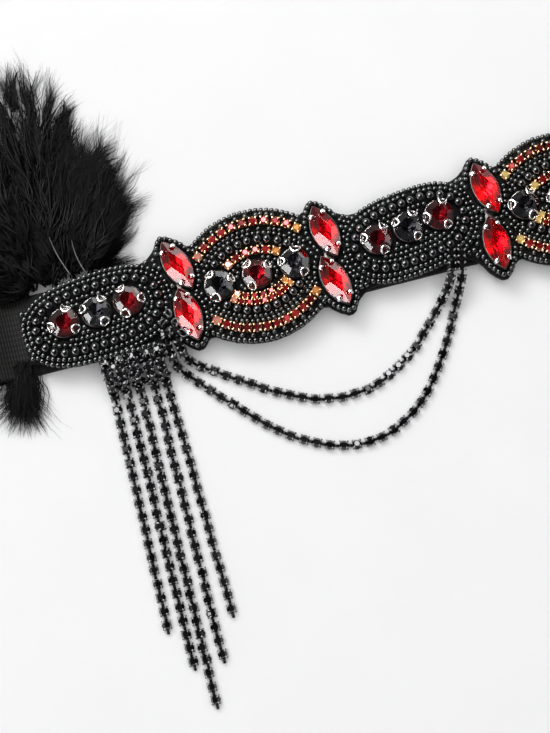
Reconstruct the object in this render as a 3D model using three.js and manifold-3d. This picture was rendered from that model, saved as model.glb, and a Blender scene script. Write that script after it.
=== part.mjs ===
// Beaded flapper headband with a feather plume, lying flat as it does on a table.
// Millimetres, +X along the band, +Y towards the plume's tip, +Z up, floor at z = 0.
// From the floor up: the elastic loop, the felt strip, the bead bed, then rows and set stones.
import * as THREE from 'three';
import { mergeVertices } from 'three/addons/utils/BufferGeometryUtils.js';
import Module from 'manifold-3d';

const wasm = await Module();
wasm.setup();

// Small space between neighbouring pieces
const GAP = 0.3;

// Elastic loop, folded flat under the beadwork, with a soft round fold at each end
const ELASTIC_WIDTH = 24;
const ELASTIC_THICK = 1.2;
const FOLD_RADIUS = 4;
const FOLD_RUN = 14;

// Felt strip and bead bed
const FELT_THICK = 2.4;
const FELT_MARGIN = 0.8;
const BED_THICK = 1;
const SEED_BORDER = 2;

// Round stones and their claw settings
const ROUND_SETTING_D = 8.4;
const CUP_WALL = 0.35;
const CUP_FLOOR = 0.5;
const CUP_HEIGHT = 3.2;
const CROWN_HEIGHT = 1.3;
const GIRDLE_HEIGHT = 0.4;
const CLAW_WIDTH = 1.1;
const CLAW_RISE = 1;
const CLAWS_PER_ROUND = 3;
const FIRST_CLAW_TURN = 52;
const TABLE_SHARE = 0.58;

// Marquise stones, whose cups are soldered in pairs
const MARQUISE_LENGTH = 15.4;
const MARQUISE_WIDTH = 7.2;
const PAIR_BORDER = 1.6;
const BRIDGE_WIDTH = 3.4;
const MARQUISE_CLAW_SHARE = 0.33;
const TIP_INSET_SHARE = 1.3;

// Bead rows
const PEARL_D = 2.4;
const RHINESTONE_D = 2.4;
const ROW_PLATE = 0.5;
const ROW_STEP = 2.9;
const INNER_ROW_Y = 6.4;
const OUTER_ROW_Y = 14.5;
const ROW_DROP = 6.2;
const PLATE_SPAN = 0.5;
const PLATE_UNDER_SHARE = 0.3;
const OUTER_BORDER = 3.1;

// Spacing along the band
const LOBE_STONE_SPACE = 0.7;
const MEDALLION_STONE_SPACE = 2.25;
const PAIR_HALF = 4.6;
const MEDALLION_HALF = 15.8;
const END_LOBE_SPACE = 1.6;
const OVAL_POWER = 2.6;
const LOBE_SEED_ROW = 2.6;

// Chains
const CHAIN_D = 2.4;
const HEADER_SHIFT = 6.3;
const HEADER_DEPTH = 2.8;
const HEADER_HEIGHT = 2.6;
const FRINGE_HALF = 7.3;
const FRINGE_LENGTH = 95;
const FRINGE_DROP = 9;
const CHAIN_SIDES = 8;
const CHAIN_STEP = 2.6 * CHAIN_D;

// Plume
const PLUME_SHIFT = -8.7;
const PLUME_LENGTH = 80;
const PLUME_LEAN = 20;
const PLUME_LOCK_WIDTH = 15;
const PLUME_LOCK_THICK = 4.4;
const PLUME_ROOT_INSET = 1;
const LOCK_ROOT_SHARE = 0.35;
const LOCK_BEND_SHARE = 0.6;
const TAIL_WIDTH_SHARE = 0.45;
const TAIL_THICK_SHARE = 0.8;
const PLUME_TAB_WIDTH = 14;
const PLUME_TAB_THICK = 1.2;
const PLUME_TAB_END = 3.6;

// Heights of the stack, each from the one below it
const ELASTIC_TOP = 2 * ELASTIC_THICK + GAP;
const FELT_Z = ELASTIC_TOP + GAP;
const FELT_TOP = FELT_Z + FELT_THICK;
const BED_Z = FELT_TOP + GAP;
const BED_TOP = BED_Z + BED_THICK;
const ROW_Z = BED_TOP + GAP;
const CHAIN_HIGH_Z = ROW_Z + CHAIN_D / 2;
const CHAIN_LOW_Z = CHAIN_D / 2;

// Places along the band, from its middle outwards
const SETTING_R = ROUND_SETTING_D / 2;
const LOBE_PITCH = ROUND_SETTING_D + LOBE_STONE_SPACE;
const MEDALLION_PITCH = ROUND_SETTING_D + MEDALLION_STONE_SPACE;
const LOBE_RING_HALF = LOBE_PITCH + SETTING_R + GAP + PEARL_D / 2 + LOBE_STONE_SPACE;
const LOBE_RING_HALF_WIDTH = SETTING_R + LOBE_SEED_ROW + PEARL_D / 2;
const LOBE_HALF = LOBE_RING_HALF + PEARL_D;
const INNER_PAIR_X = LOBE_HALF + PAIR_HALF;
const MEDALLION_X = INNER_PAIR_X + PAIR_HALF + MEDALLION_HALF;
const OUTER_PAIR_X = MEDALLION_X + MEDALLION_HALF + PAIR_HALF;
const LOBE_X = OUTER_PAIR_X + PAIR_HALF + LOBE_HALF + END_LOBE_SPACE;
const LOBE_FIELD_HALF = LOBE_RING_HALF + PEARL_D / 2 + SEED_BORDER;
const LOBE_FIELD_HALF_WIDTH = LOBE_RING_HALF_WIDTH + PEARL_D / 2 + SEED_BORDER;
const MEDALLION_FIELD_R = OUTER_ROW_Y + ROW_DROP + OUTER_BORDER;
const STRIP_HALF = LOBE_X + LOBE_FIELD_HALF + END_LOBE_SPACE + FELT_MARGIN + GAP;
const HEADER_X = HEADER_SHIFT - LOBE_X;

// Lobes: how far their stones stand above the band's line, and their beads' middle below the stones
const LOBES = [
  {
    name: 'l1', x: -LOBE_X, y: 0.107 * ROUND_SETTING_D, tilt: 5,
    drop: 0.107 * ROUND_SETTING_D, longer: END_LOBE_SPACE,
  },
  {
    name: 'l2', x: 0, y: 0.286 * ROUND_SETTING_D, tilt: 7.5,
    drop: 0.155 * ROUND_SETTING_D, longer: 0,
  },
  {
    name: 'l3', x: LOBE_X, y: 0.143 * ROUND_SETTING_D, tilt: -4,
    drop: 0.131 * ROUND_SETTING_D, longer: END_LOBE_SPACE,
  },
];
const MEDALLIONS = [
  { name: 'm1', x: -MEDALLION_X, y: 0.012 * ROUND_SETTING_D, tilt: 2.4 },
  { name: 'm2', x: MEDALLION_X, y: 0.012 * ROUND_SETTING_D, tilt: -2 },
];

// Each pair's place, and how its two stones stand from it, in shares of their length, and lean
const PAIRS = [
  {
    name: 'p1', x: -OUTER_PAIR_X,
    upper: { along: 0.006, across: 0.506, lean: 19 }, lower: { along: -0.013, across: -0.383, lean: 7 },
  },
  {
    name: 'p2', x: -INNER_PAIR_X,
    upper: { along: 0.02, across: 0.448, lean: 12 }, lower: { along: -0.02, across: -0.448, lean: 16 },
  },
  {
    name: 'p3', x: INNER_PAIR_X,
    upper: { along: 0.045, across: 0.487, lean: 11 }, lower: { along: -0.026, across: -0.506, lean: 3 },
  },
  {
    name: 'p4', x: OUTER_PAIR_X,
    upper: { along: 0.02, across: 0.48, lean: 13 }, lower: { along: -0.02, across: -0.442, lean: 9 },
  },
];

// Fringe strands: where each leaves the header and ends, in shares of half the fringe's width, and
// its share of the longest
const STRANDS = [
  { top: -1, end: -1.164, share: 0.758 },
  { top: -0.507, end: -0.575, share: 0.879 },
  { top: -0.014, end: -0.11, share: 1 },
  { top: 0.534, end: 0.52, share: 0.879 },
  { top: 1, end: 1.26, share: 0.758 },
];

// Chosen points of the two swags, along the band, across it and up; they start beside the header
const SWAG_INNER = [
  [HEADER_X + 13.1, -9.2, CHAIN_HIGH_Z], [HEADER_X + 13.1, -12.6, 7.9],
  [HEADER_X + 14.3, -17, 3.6], [HEADER_X + 19.5, -20.9, CHAIN_LOW_Z],
  [-53.5, -26.4, CHAIN_LOW_Z], [-44.6, -31.9, CHAIN_LOW_Z], [-33.5, -36.5, CHAIN_LOW_Z],
  [-20.5, -36.6, CHAIN_LOW_Z], [-8.5, -30.9, CHAIN_LOW_Z], [0.6, -22.5, CHAIN_LOW_Z],
  [5.4, -17.2, 3.2], [8.2, -12.6, 8.1], [9.3, -7.6, CHAIN_HIGH_Z + 0.2],
];
const SWAG_OUTER = [
  [HEADER_X + 10.3, -9.6, CHAIN_HIGH_Z], [HEADER_X + 10.1, -13.4, 7.8],
  [HEADER_X + 11.1, -18.2, 3.4], [HEADER_X + 15.8, -23.6, CHAIN_LOW_Z],
  [-57.5, -32.1, CHAIN_LOW_Z], [-49.7, -39.9, CHAIN_LOW_Z], [-40.6, -46.4, CHAIN_LOW_Z],
  [-29.1, -50.7, CHAIN_LOW_Z], [-17.6, -49.5, CHAIN_LOW_Z], [-7.1, -42.9, CHAIN_LOW_Z],
  [1.2, -32.2, CHAIN_LOW_Z], [6.9, -22.2, 1.6], [10.7, -14, 6.6], [12.2, -8, CHAIN_HIGH_Z + 0.2],
];

// Plume locks: turn from the plume's own lean, share of its length, and layer from the floor up
const LAYERS = [
  { middle: 0.62, tip: 0.52 },
  { middle: 1.57, tip: 1.02 },
];
const LOCKS = [
  { turn: -64, reach: 0.42, layer: 0 },
  { turn: -52, reach: 0.5, layer: 1 },
  { turn: -40, reach: 0.56, layer: 0 },
  { turn: -29, reach: 0.7, layer: 1 },
  { turn: -18, reach: 0.84, layer: 0 },
  { turn: -8, reach: 0.96, layer: 1 },
  { turn: 2, reach: 1, layer: 0 },
  { turn: 12, reach: 0.92, layer: 1 },
  { turn: 22, reach: 0.78, layer: 0 },
  { turn: 33, reach: 0.62, layer: 1 },
  { turn: 45, reach: 0.52, layer: 0 },
  { turn: 58, reach: 0.48, layer: 1 },
  { turn: 71, reach: 0.46, layer: 0 },
  { turn: 84, reach: 0.32, layer: 1 },
];
const TAIL_LOCKS = [
  { turn: 142, reach: 0.2 },
  { turn: 160, reach: 0.22 },
  { turn: 178, reach: 0.18 },
];

const COLOURS = {
  elastic: { color: 0x17181a, roughness: 0.85, metalness: 0 },
  felt: { color: 0x0f0f11, roughness: 0.95, metalness: 0 },
  seeds: { color: 0x161c1b, roughness: 0.2, metalness: 0.3 },
  pearls: { color: 0x1a2024, roughness: 0.15, metalness: 0.4 },
  rhinestones: { color: 0xb5482f, roughness: 0.2, metalness: 0.5 },
  redStone: { color: 0xd01222, roughness: 0.05, metalness: 0 },
  darkRedStone: { color: 0x7a0f1c, roughness: 0.05, metalness: 0 },
  blackStone: { color: 0x1b1d1f, roughness: 0.05, metalness: 0 },
  silver: { color: 0xd9d6d2, roughness: 0.2, metalness: 1 },
  chain: { color: 0x2b2d2f, roughness: 0.25, metalness: 0.8 },
  feather: { color: 0x0b0b0c, roughness: 0.8, metalness: 0 },
};

const TINY = 1e-6;
const MERGE_STEP = 1e-4;
const ROUND_SIDES = 10;
const LENS_SIDES = 10;
const LOBE_SIDES = 22;
const MEDALLION_SIDES = 18;
const RING_SIDES = 16;
const ROW_STEPS = 4;
const FOLD_STEPS = 8;
const RUN_STEPS = 5;
const LOCK_SIDES = 5;
const LOCK_STEPS = 6;
const group = new THREE.Group();

const radians = (degrees) => THREE.MathUtils.degToRad(degrees);

function addPiece(name, geometry, look) {
  const piece = new THREE.Mesh(geometry, new THREE.MeshStandardMaterial(COLOURS[look]));
  piece.name = name;
  group.add(piece);
  return piece;
}

function toSolid(geometry) {
  const bare = geometry.clone();
  bare.deleteAttribute('normal');
  bare.deleteAttribute('uv');
  const merged = mergeVertices(bare, MERGE_STEP);
  return new wasm.Manifold(new wasm.Mesh({
    numProp: 3,
    vertProperties: new Float32Array(merged.attributes.position.array),
    triVerts: new Uint32Array(merged.index.array),
  }));
}

function toGeometry(solid) {
  const mesh = solid.getMesh();
  const geometry = new THREE.BufferGeometry();
  geometry.setAttribute('position', new THREE.BufferAttribute(mesh.vertProperties, 3));
  geometry.setIndex(new THREE.BufferAttribute(mesh.triVerts, 1));
  geometry.computeVertexNormals();
  return geometry;
}

function fuse(geometries) {
  return geometries.map(toSolid).reduce((whole, next) => whole.add(next));
}

// Moves each vertex of a geometry by a rule given as a function of its position
function reshape(geometry, rule) {
  const position = geometry.attributes.position;
  const point = new THREE.Vector3();
  for (let i = 0; i < position.count; i += 1) {
    point.fromBufferAttribute(position, i);
    const moved = rule(point);
    position.setXYZ(i, moved.x, moved.y, moved.z);
  }
  return geometry;
}

// A turned solid about +Z, from profile rows of radius and height that start and end on the axis
function turned(rows, sides) {
  const profile = rows.map(([radius, height]) => new THREE.Vector2(radius, height));
  return new THREE.LatheGeometry(profile, sides).rotateX(Math.PI / 2);
}

// Radius of the two arcs of a pointed lens, and its half width at a distance along it
function lensRadius(halfLength, halfWidth) {
  return (halfLength ** 2 + halfWidth ** 2) / (2 * halfWidth);
}

function lensHalfWidth(along, halfLength, halfWidth) {
  const radius = lensRadius(halfLength, halfWidth);
  return Math.sqrt(Math.max(radius ** 2 - along ** 2, 0)) - (radius - halfWidth);
}

function lensPoint(angle, halfLength, halfWidth) {
  const along = halfLength * Math.cos(angle);
  const side = Math.sign(Math.sin(angle)) * (Math.abs(Math.sin(angle)) > TINY ? 1 : 0);
  return new THREE.Vector2(along, side * lensHalfWidth(along, halfLength, halfWidth));
}

// Draws a turned solid out into a pointed marquise, keeping its walls even
function toMarquise(geometry, halfLength, halfWidth) {
  const tipSlope = halfLength / lensRadius(halfLength, halfWidth);
  return reshape(geometry, (point) => {
    const radius = Math.hypot(point.x, point.y);
    if (radius < TINY) return point;
    const shorter = (halfWidth - radius) / tipSlope;
    const flat = lensPoint(Math.atan2(point.y, point.x), halfLength - shorter, radius);
    return new THREE.Vector3(flat.x, flat.y, point.z);
  });
}

function outlineSolid(points, depth, z) {
  const geometry = new THREE.ExtrudeGeometry(new THREE.Shape(points), { depth, bevelEnabled: false });
  return geometry.translate(0, 0, z);
}

function aroundPoints(count, pointAt) {
  return Array.from({ length: count }, (_, i) => pointAt((i / count) * 2 * Math.PI));
}

// A smooth path through chosen points that never sinks below a chain's height on the floor
class LaidPath extends THREE.CatmullRomCurve3 {
  getPoint(share, target) {
    const point = super.getPoint(share, target);
    point.z = Math.max(point.z, CHAIN_LOW_Z);
    return point;
  }
}

function tube(points, diameter, givenSteps) {
  const path = new LaidPath(points.map((p) => new THREE.Vector3(...p)), false, 'centripetal');
  const steps = givenSteps ?? Math.max(2, Math.round(path.getLength() / CHAIN_STEP));
  const section = new THREE.Shape(aroundPoints(CHAIN_SIDES, (angle) => new THREE.Vector2(
    (diameter / 2) * Math.cos(angle), (diameter / 2) * Math.sin(angle))));
  return new THREE.ExtrudeGeometry(section, { steps, extrudePath: path, bevelEnabled: false });
}

// Elastic loop
function elasticCentreline() {
  const foldX = STRIP_HALF + FOLD_RUN;
  const low = ELASTIC_THICK / 2;
  const top = ELASTIC_TOP - ELASTIC_THICK / 2;
  const foldTop = low + 2 * FOLD_RADIUS;
  const half = [];
  for (let i = 0; i <= FOLD_STEPS; i += 1) {
    const angle = -Math.PI / 2 + (Math.PI * i) / FOLD_STEPS;
    half.push([foldX + FOLD_RADIUS * Math.cos(angle), low + FOLD_RADIUS * (1 + Math.sin(angle))]);
  }
  for (let i = 1; i <= RUN_STEPS; i += 1) {
    const share = i / RUN_STEPS;
    const fall = (1 - Math.cos(Math.PI * share)) / 2;
    half.push([foldX - FOLD_RUN * share, foldTop + (top - foldTop) * fall]);
  }
  const mirrored = half.map(([x, z]) => [-x, z]).reverse();
  return [...half, ...mirrored].map(([x, z]) => new THREE.Vector2(x, z));
}

function offsetLoop(loop, distance) {
  return loop.map((point, i) => {
    const before = loop[(i + loop.length - 1) % loop.length];
    const after = loop[(i + 1) % loop.length];
    const along = after.clone().sub(before).normalize();
    return new THREE.Vector2(point.x + along.y * distance, point.y - along.x * distance);
  });
}

function elasticLoop() {
  const centre = elasticCentreline();
  const shape = new THREE.Shape(offsetLoop(centre, ELASTIC_THICK / 2));
  shape.holes.push(new THREE.Path(offsetLoop(centre, -ELASTIC_THICK / 2)));
  const geometry = new THREE.ExtrudeGeometry(shape, { depth: ELASTIC_WIDTH, bevelEnabled: false });
  return geometry.rotateX(Math.PI / 2).translate(0, ELASTIC_WIDTH / 2, 0);
}

// A point on the full oval of a lobe, squarer than an ellipse, and the way that faces out there
function ovalPoint(angle, halfLength, halfWidth) {
  const share = (value) => Math.sign(value) * Math.abs(value) ** (2 / OVAL_POWER);
  return new THREE.Vector2(halfLength * share(Math.cos(angle)), halfWidth * share(Math.sin(angle)));
}

function ovalNormal(point, halfLength, halfWidth) {
  const slope = (value, half) => (Math.sign(value) * Math.abs(value / half) ** (OVAL_POWER - 1)) / half;
  return new THREE.Vector2(slope(point.x, halfLength), slope(point.y, halfWidth)).normalize();
}

// The bead fields are flat outlines that can grow by a margin, each set at its place on the band
function placed(geometry, x, y, turn) {
  return geometry.rotateZ(radians(turn)).translate(x, y, 0);
}

function lobeField(lobe, margin, depth, z) {
  const points = aroundPoints(LOBE_SIDES, (angle) => ovalPoint(
    angle, LOBE_FIELD_HALF + lobe.longer + margin, LOBE_FIELD_HALF_WIDTH + margin));
  return placed(outlineSolid(points, depth, z).translate(0, -lobe.drop, 0), lobe.x, lobe.y, lobe.tilt);
}

function medallionField(medallion, margin, depth, z) {
  const radius = MEDALLION_FIELD_R + margin;
  const points = aroundPoints(MEDALLION_SIDES, (angle) => lensPoint(
    angle, Math.sqrt(radius ** 2 - ROW_DROP ** 2), radius - ROW_DROP));
  return placed(outlineSolid(points, depth, z), medallion.x, medallion.y, medallion.tilt);
}

function marquisePlaces(pair) {
  return ['upper', 'lower'].map((side) => ({
    side,
    x: pair.x + pair[side].along * MARQUISE_LENGTH,
    y: pair[side].across * MARQUISE_LENGTH,
    turn: 90 + pair[side].lean,
  }));
}

function pairFields(pair, margin, depth, z) {
  const grow = PAIR_BORDER + margin;
  const points = aroundPoints(LENS_SIDES, (angle) => lensPoint(
    angle, MARQUISE_LENGTH / 2 + grow, MARQUISE_WIDTH / 2 + grow));
  return marquisePlaces(pair).map((place) => placed(
    outlineSolid(points, depth, z), place.x, place.y, place.turn));
}

function lobeBed(lobe) {
  return toSolid(lobeField(lobe, 0, BED_THICK, BED_Z)).subtract(pocketSolid());
}

// A medallion's bed holds the pair on each side of it, and is trimmed back from the lobes
function medallionBed(medallion) {
  const pairs = PAIRS.filter((pair) => Math.sign(pair.x) === Math.sign(medallion.x));
  const fields = fuse([
    medallionField(medallion, 0, BED_THICK, BED_Z),
    ...pairs.flatMap((pair) => pairFields(pair, 0, BED_THICK, BED_Z)),
  ]);
  const lobes = fuse(LOBES.map((lobe) => lobeField(lobe, GAP, BED_THICK + 2 * GAP, BED_Z - GAP)));
  return fields.subtract(lobes).subtract(pocketSolid());
}

// Round stones and settings
const STONE_SEAT_Z = BED_Z + CUP_FLOOR + GAP;
const GIRDLE_Z = BED_Z + CUP_HEIGHT;
const STONE_R = SETTING_R - CUP_WALL - GAP;

function cupRows(radius) {
  return [
    [0, BED_Z], [radius, BED_Z], [radius, BED_Z + CUP_HEIGHT],
    [radius - CUP_WALL, BED_Z + CUP_HEIGHT], [radius - CUP_WALL, BED_Z + CUP_FLOOR],
    [0, BED_Z + CUP_FLOOR],
  ];
}

function stoneRows(radius) {
  return [
    [0, STONE_SEAT_Z], [radius, GIRDLE_Z], [radius, GIRDLE_Z + GIRDLE_HEIGHT],
    [radius * TABLE_SHARE, GIRDLE_Z + GIRDLE_HEIGHT + CROWN_HEIGHT],
    [0, GIRDLE_Z + GIRDLE_HEIGHT + CROWN_HEIGHT],
  ];
}

function claw(x, y, turn) {
  const height = CUP_HEIGHT / 2 + CLAW_RISE;
  return new THREE.BoxGeometry(CUP_WALL, CLAW_WIDTH, height)
    .translate(-CUP_WALL / 2, 0, BED_Z + CUP_HEIGHT / 2 + height / 2)
    .rotateZ(turn).translate(x, y, 0);
}

function roundSetting() {
  const reach = SETTING_R + GAP / 2;
  const claws = aroundPoints(CLAWS_PER_ROUND, (angle) => {
    const turn = angle + radians(FIRST_CLAW_TURN);
    return claw(reach * Math.cos(turn), reach * Math.sin(turn), turn);
  });
  return toGeometry(fuse([turned(cupRows(SETTING_R), ROUND_SIDES), ...claws]));
}

function roundPlaces() {
  const places = [];
  const lobeLooks = ['darkRedStone', 'blackStone', 'darkRedStone'];
  const medallionLooks = ['blackStone', 'darkRedStone', 'blackStone'];
  const rows = [
    ...LOBES.map((unit) => ({ unit, pitch: LOBE_PITCH, looks: lobeLooks })),
    ...MEDALLIONS.map((unit) => ({ unit, pitch: MEDALLION_PITCH, looks: medallionLooks })),
  ];
  for (const { unit, pitch, looks } of rows) {
    ['left', 'middle', 'right'].forEach((side, i) => {
      const along = (i - 1) * pitch;
      places.push({
        name: `${unit.name}_${side}`,
        x: unit.x + along * Math.cos(radians(unit.tilt)),
        y: unit.y + along * Math.sin(radians(unit.tilt)),
        look: looks[i],
      });
    });
  }
  return places;
}

// Marquise stones and their soldered pairs of cups
const MARQUISE_HALF_WIDTH = MARQUISE_WIDTH / 2;
const MARQUISE_INSET = CUP_WALL + GAP;

function marquiseCup() {
  const cup = toMarquise(
    turned(cupRows(MARQUISE_HALF_WIDTH), LENS_SIDES), MARQUISE_LENGTH / 2, MARQUISE_HALF_WIDTH);
  const claws = [];
  for (const end of [-1, 1]) {
    for (const side of [-1, 1]) {
      const along = end * MARQUISE_LENGTH * MARQUISE_CLAW_SHARE;
      const across = side * lensHalfWidth(along, MARQUISE_LENGTH / 2, MARQUISE_HALF_WIDTH);
      const toCentre = lensRadius(MARQUISE_LENGTH / 2, MARQUISE_HALF_WIDTH) - MARQUISE_HALF_WIDTH;
      claws.push(claw(along, across, Math.atan2(across + side * toCentre, along)));
    }
  }
  return [cup, ...claws];
}

function bridge(pair, grow, depth) {
  const [upper, lower] = marquisePlaces(pair);
  const length = upper.y - lower.y;
  return new THREE.BoxGeometry(BRIDGE_WIDTH + 2 * grow, length, depth)
    .rotateZ(-Math.atan2(upper.x - lower.x, length))
    .translate((upper.x + lower.x) / 2, (upper.y + lower.y) / 2, BED_Z + depth / 2);
}

function pairSetting(pair) {
  const pieces = [bridge(pair, 0, CUP_FLOOR)];
  for (const place of marquisePlaces(pair)) {
    for (const piece of marquiseCup()) {
      pieces.push(placed(piece, place.x, place.y, place.turn));
    }
  }
  return fuse(pieces);
}

// Everything that the set stones need cut out of the bead bed
function pocketSolid() {
  const low = BED_Z - GAP;
  const depth = BED_THICK + 2 * GAP;
  const pockets = roundPlaces().map((place) => new THREE.CylinderGeometry(
    SETTING_R + 2 * GAP, SETTING_R + 2 * GAP, depth, ROUND_SIDES)
    .rotateX(Math.PI / 2).translate(place.x, place.y, low + depth / 2));
  for (const pair of PAIRS) {
    pockets.push(bridge(pair, GAP, depth).translate(0, 0, -GAP));
    for (const place of marquisePlaces(pair)) {
      const points = aroundPoints(LENS_SIDES, (angle) => lensPoint(
        angle, MARQUISE_LENGTH / 2 + 2 * GAP, MARQUISE_HALF_WIDTH + 2 * GAP));
      pockets.push(placed(outlineSolid(points, depth, low), place.x, place.y, place.turn));
    }
  }
  return fuse(pockets);
}

// Pearl ring round each lobe: a torus drawn out along an oval
function pearlRing(lobe) {
  const half = LOBE_RING_HALF + lobe.longer;
  const reach = 2 * PEARL_D;
  const ring = new THREE.TorusGeometry(reach, PEARL_D / 2, CHAIN_SIDES, RING_SIDES);
  return reshape(ring, (point) => {
    const angle = Math.atan2(point.y, point.x);
    const out = Math.hypot(point.x, point.y) - reach;
    const centre = ovalPoint(angle, half, LOBE_RING_HALF_WIDTH);
    const flat = ovalNormal(centre, half, LOBE_RING_HALF_WIDTH).multiplyScalar(out).add(centre);
    return new THREE.Vector3(flat.x, flat.y - lobe.drop, point.z + ROW_Z + PEARL_D / 2);
  });
}

// Arched rows above or below a medallion's stones, on one thin plate
const MEDALLION_ROWS = [
  { y: INNER_ROW_Y, span: 0.5, diameter: RHINESTONE_D },
  { y: INNER_ROW_Y + ROW_STEP, span: 0.62, diameter: PEARL_D },
  { y: OUTER_ROW_Y, span: 0.73, diameter: RHINESTONE_D },
];

function archPoint(angle, radius) {
  return new THREE.Vector2(radius * Math.sin(angle), radius * Math.cos(angle) - ROW_DROP);
}

function medallionRows() {
  const inner = INNER_ROW_Y + ROW_DROP - RHINESTONE_D * PLATE_UNDER_SHARE;
  const outer = OUTER_ROW_Y + ROW_DROP + RHINESTONE_D * PLATE_UNDER_SHARE;
  const plate = [];
  for (let i = 0; i <= ROW_STEPS; i += 1) {
    plate.push(archPoint(PLATE_SPAN * (1 - (2 * i) / ROW_STEPS), outer));
  }
  for (let i = 0; i <= ROW_STEPS; i += 1) {
    plate.push(archPoint(PLATE_SPAN * ((2 * i) / ROW_STEPS - 1), inner));
  }
  const pieces = [outlineSolid(plate, ROW_PLATE, ROW_Z)];
  for (const row of MEDALLION_ROWS) {
    const points = Array.from({ length: ROW_STEPS + 1 }, (_, i) => {
      const flat = archPoint(row.span * ((2 * i) / ROW_STEPS - 1), row.y + ROW_DROP);
      return [flat.x, flat.y, ROW_Z + ROW_PLATE / 2 + row.diameter / 2];
    });
    pieces.push(tube(points, row.diameter, ROW_STEPS));
  }
  return fuse(pieces);
}

// Fringe
const END_LOBE = LOBES[0];
const HEADER_Y = END_LOBE.y - END_LOBE.drop - LOBE_FIELD_HALF_WIDTH - 1.5 * GAP - HEADER_DEPTH / 2;
const HEADER_HALF = FRINGE_HALF + CHAIN_D / 2;
const FELT_TAB_MARGIN = 0.5;

function strandPath(strand) {
  const edge = HEADER_Y - HEADER_DEPTH / 2 - FELT_TAB_MARGIN - GAP;
  const end = edge - FRINGE_LENGTH * strand.share;
  const high = BED_Z + CHAIN_D / 2;
  const x = (share) => HEADER_X + FRINGE_HALF * (strand.top + (strand.end - strand.top) * share);
  return [
    [x(0), HEADER_Y, high],
    [x(0), edge - CHAIN_D / 2, high + CHAIN_D / 4],
    [x(0.05), edge - FRINGE_DROP / 2, (high + CHAIN_LOW_Z) / 2],
    [x(0.1), edge - FRINGE_DROP, CHAIN_LOW_Z],
    [x(0.5), (edge + end) / 2, CHAIN_LOW_Z],
    [x(1), end, CHAIN_LOW_Z],
  ];
}

function fringe() {
  const header = new THREE.BoxGeometry(2 * HEADER_HALF, HEADER_DEPTH, HEADER_HEIGHT)
    .translate(HEADER_X, HEADER_Y, BED_Z + HEADER_HEIGHT / 2);
  return fuse([header, ...STRANDS.map((strand) => tube(strandPath(strand), CHAIN_D))]);
}

// Plume
const PLUME_X = END_LOBE.x + PLUME_SHIFT;
const TAB_HALF_LENGTH = ELASTIC_WIDTH / 2 + PLUME_TAB_END;

function turnedFrom(degrees) {
  return new THREE.Vector2(Math.sin(radians(degrees)), Math.cos(radians(degrees)));
}

// One lock: a sphere drawn out along a bent line into a flat leaf
function lock({ root, direction, bend, length, width, thick, middleZ, tipZ }) {
  const start = new THREE.Vector3(root.x, root.y, FELT_Z + PLUME_TAB_THICK / 2);
  const towards = turnedFrom(direction);
  const inner = turnedFrom(bend);
  const middle = new THREE.Vector3(
    root.x + inner.x * length * 0.5, root.y + inner.y * length * 0.5, middleZ);
  const tip = new THREE.Vector3(root.x + towards.x * length, root.y + towards.y * length, tipZ);
  const path = new THREE.QuadraticBezierCurve3(start, middle, tip);
  return reshape(new THREE.SphereGeometry(1, LOCK_SIDES, LOCK_STEPS), (point) => {
    const share = Math.acos(THREE.MathUtils.clamp(-point.y, -1, 1)) / Math.PI;
    const centre = path.getPoint(share);
    const along = path.getTangent(share);
    const side = new THREE.Vector3(along.y, -along.x, 0).normalize();
    const swell = LOCK_ROOT_SHARE + (1 - LOCK_ROOT_SHARE) * share;
    return centre.clone()
      .addScaledVector(side, (point.x * width * swell) / 2)
      .add(new THREE.Vector3(0, 0, (point.z * thick * swell) / 2));
  });
}

function plume() {
  const tab = new THREE.BoxGeometry(PLUME_TAB_WIDTH, 2 * TAB_HALF_LENGTH, PLUME_TAB_THICK)
    .translate(PLUME_X, 0, FELT_Z + PLUME_TAB_THICK / 2);
  const top = new THREE.Vector2(PLUME_X, TAB_HALF_LENGTH - PLUME_ROOT_INSET);
  const pieces = [tab];
  for (const row of LOCKS) {
    pieces.push(lock({
      root: top,
      direction: row.turn - PLUME_LEAN,
      bend: row.turn * LOCK_BEND_SHARE - PLUME_LEAN,
      length: PLUME_LENGTH * row.reach,
      width: PLUME_LOCK_WIDTH,
      thick: PLUME_LOCK_THICK,
      middleZ: PLUME_LOCK_THICK * LAYERS[row.layer].middle,
      tipZ: PLUME_LOCK_THICK * LAYERS[row.layer].tip,
    }));
  }
  const bottom = new THREE.Vector2(
    PLUME_X - PLUME_TAB_WIDTH / 4, PLUME_ROOT_INSET - TAB_HALF_LENGTH);
  for (const row of TAIL_LOCKS) {
    pieces.push(lock({
      root: bottom,
      direction: -row.turn,
      bend: -row.turn,
      length: PLUME_LENGTH * row.reach,
      width: PLUME_LOCK_WIDTH * TAIL_WIDTH_SHARE,
      thick: PLUME_LOCK_THICK * TAIL_THICK_SHARE,
      middleZ: PLUME_LOCK_THICK / 2,
      tipZ: PLUME_LOCK_THICK / 2,
    }));
  }
  return fuse(pieces);
}

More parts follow.
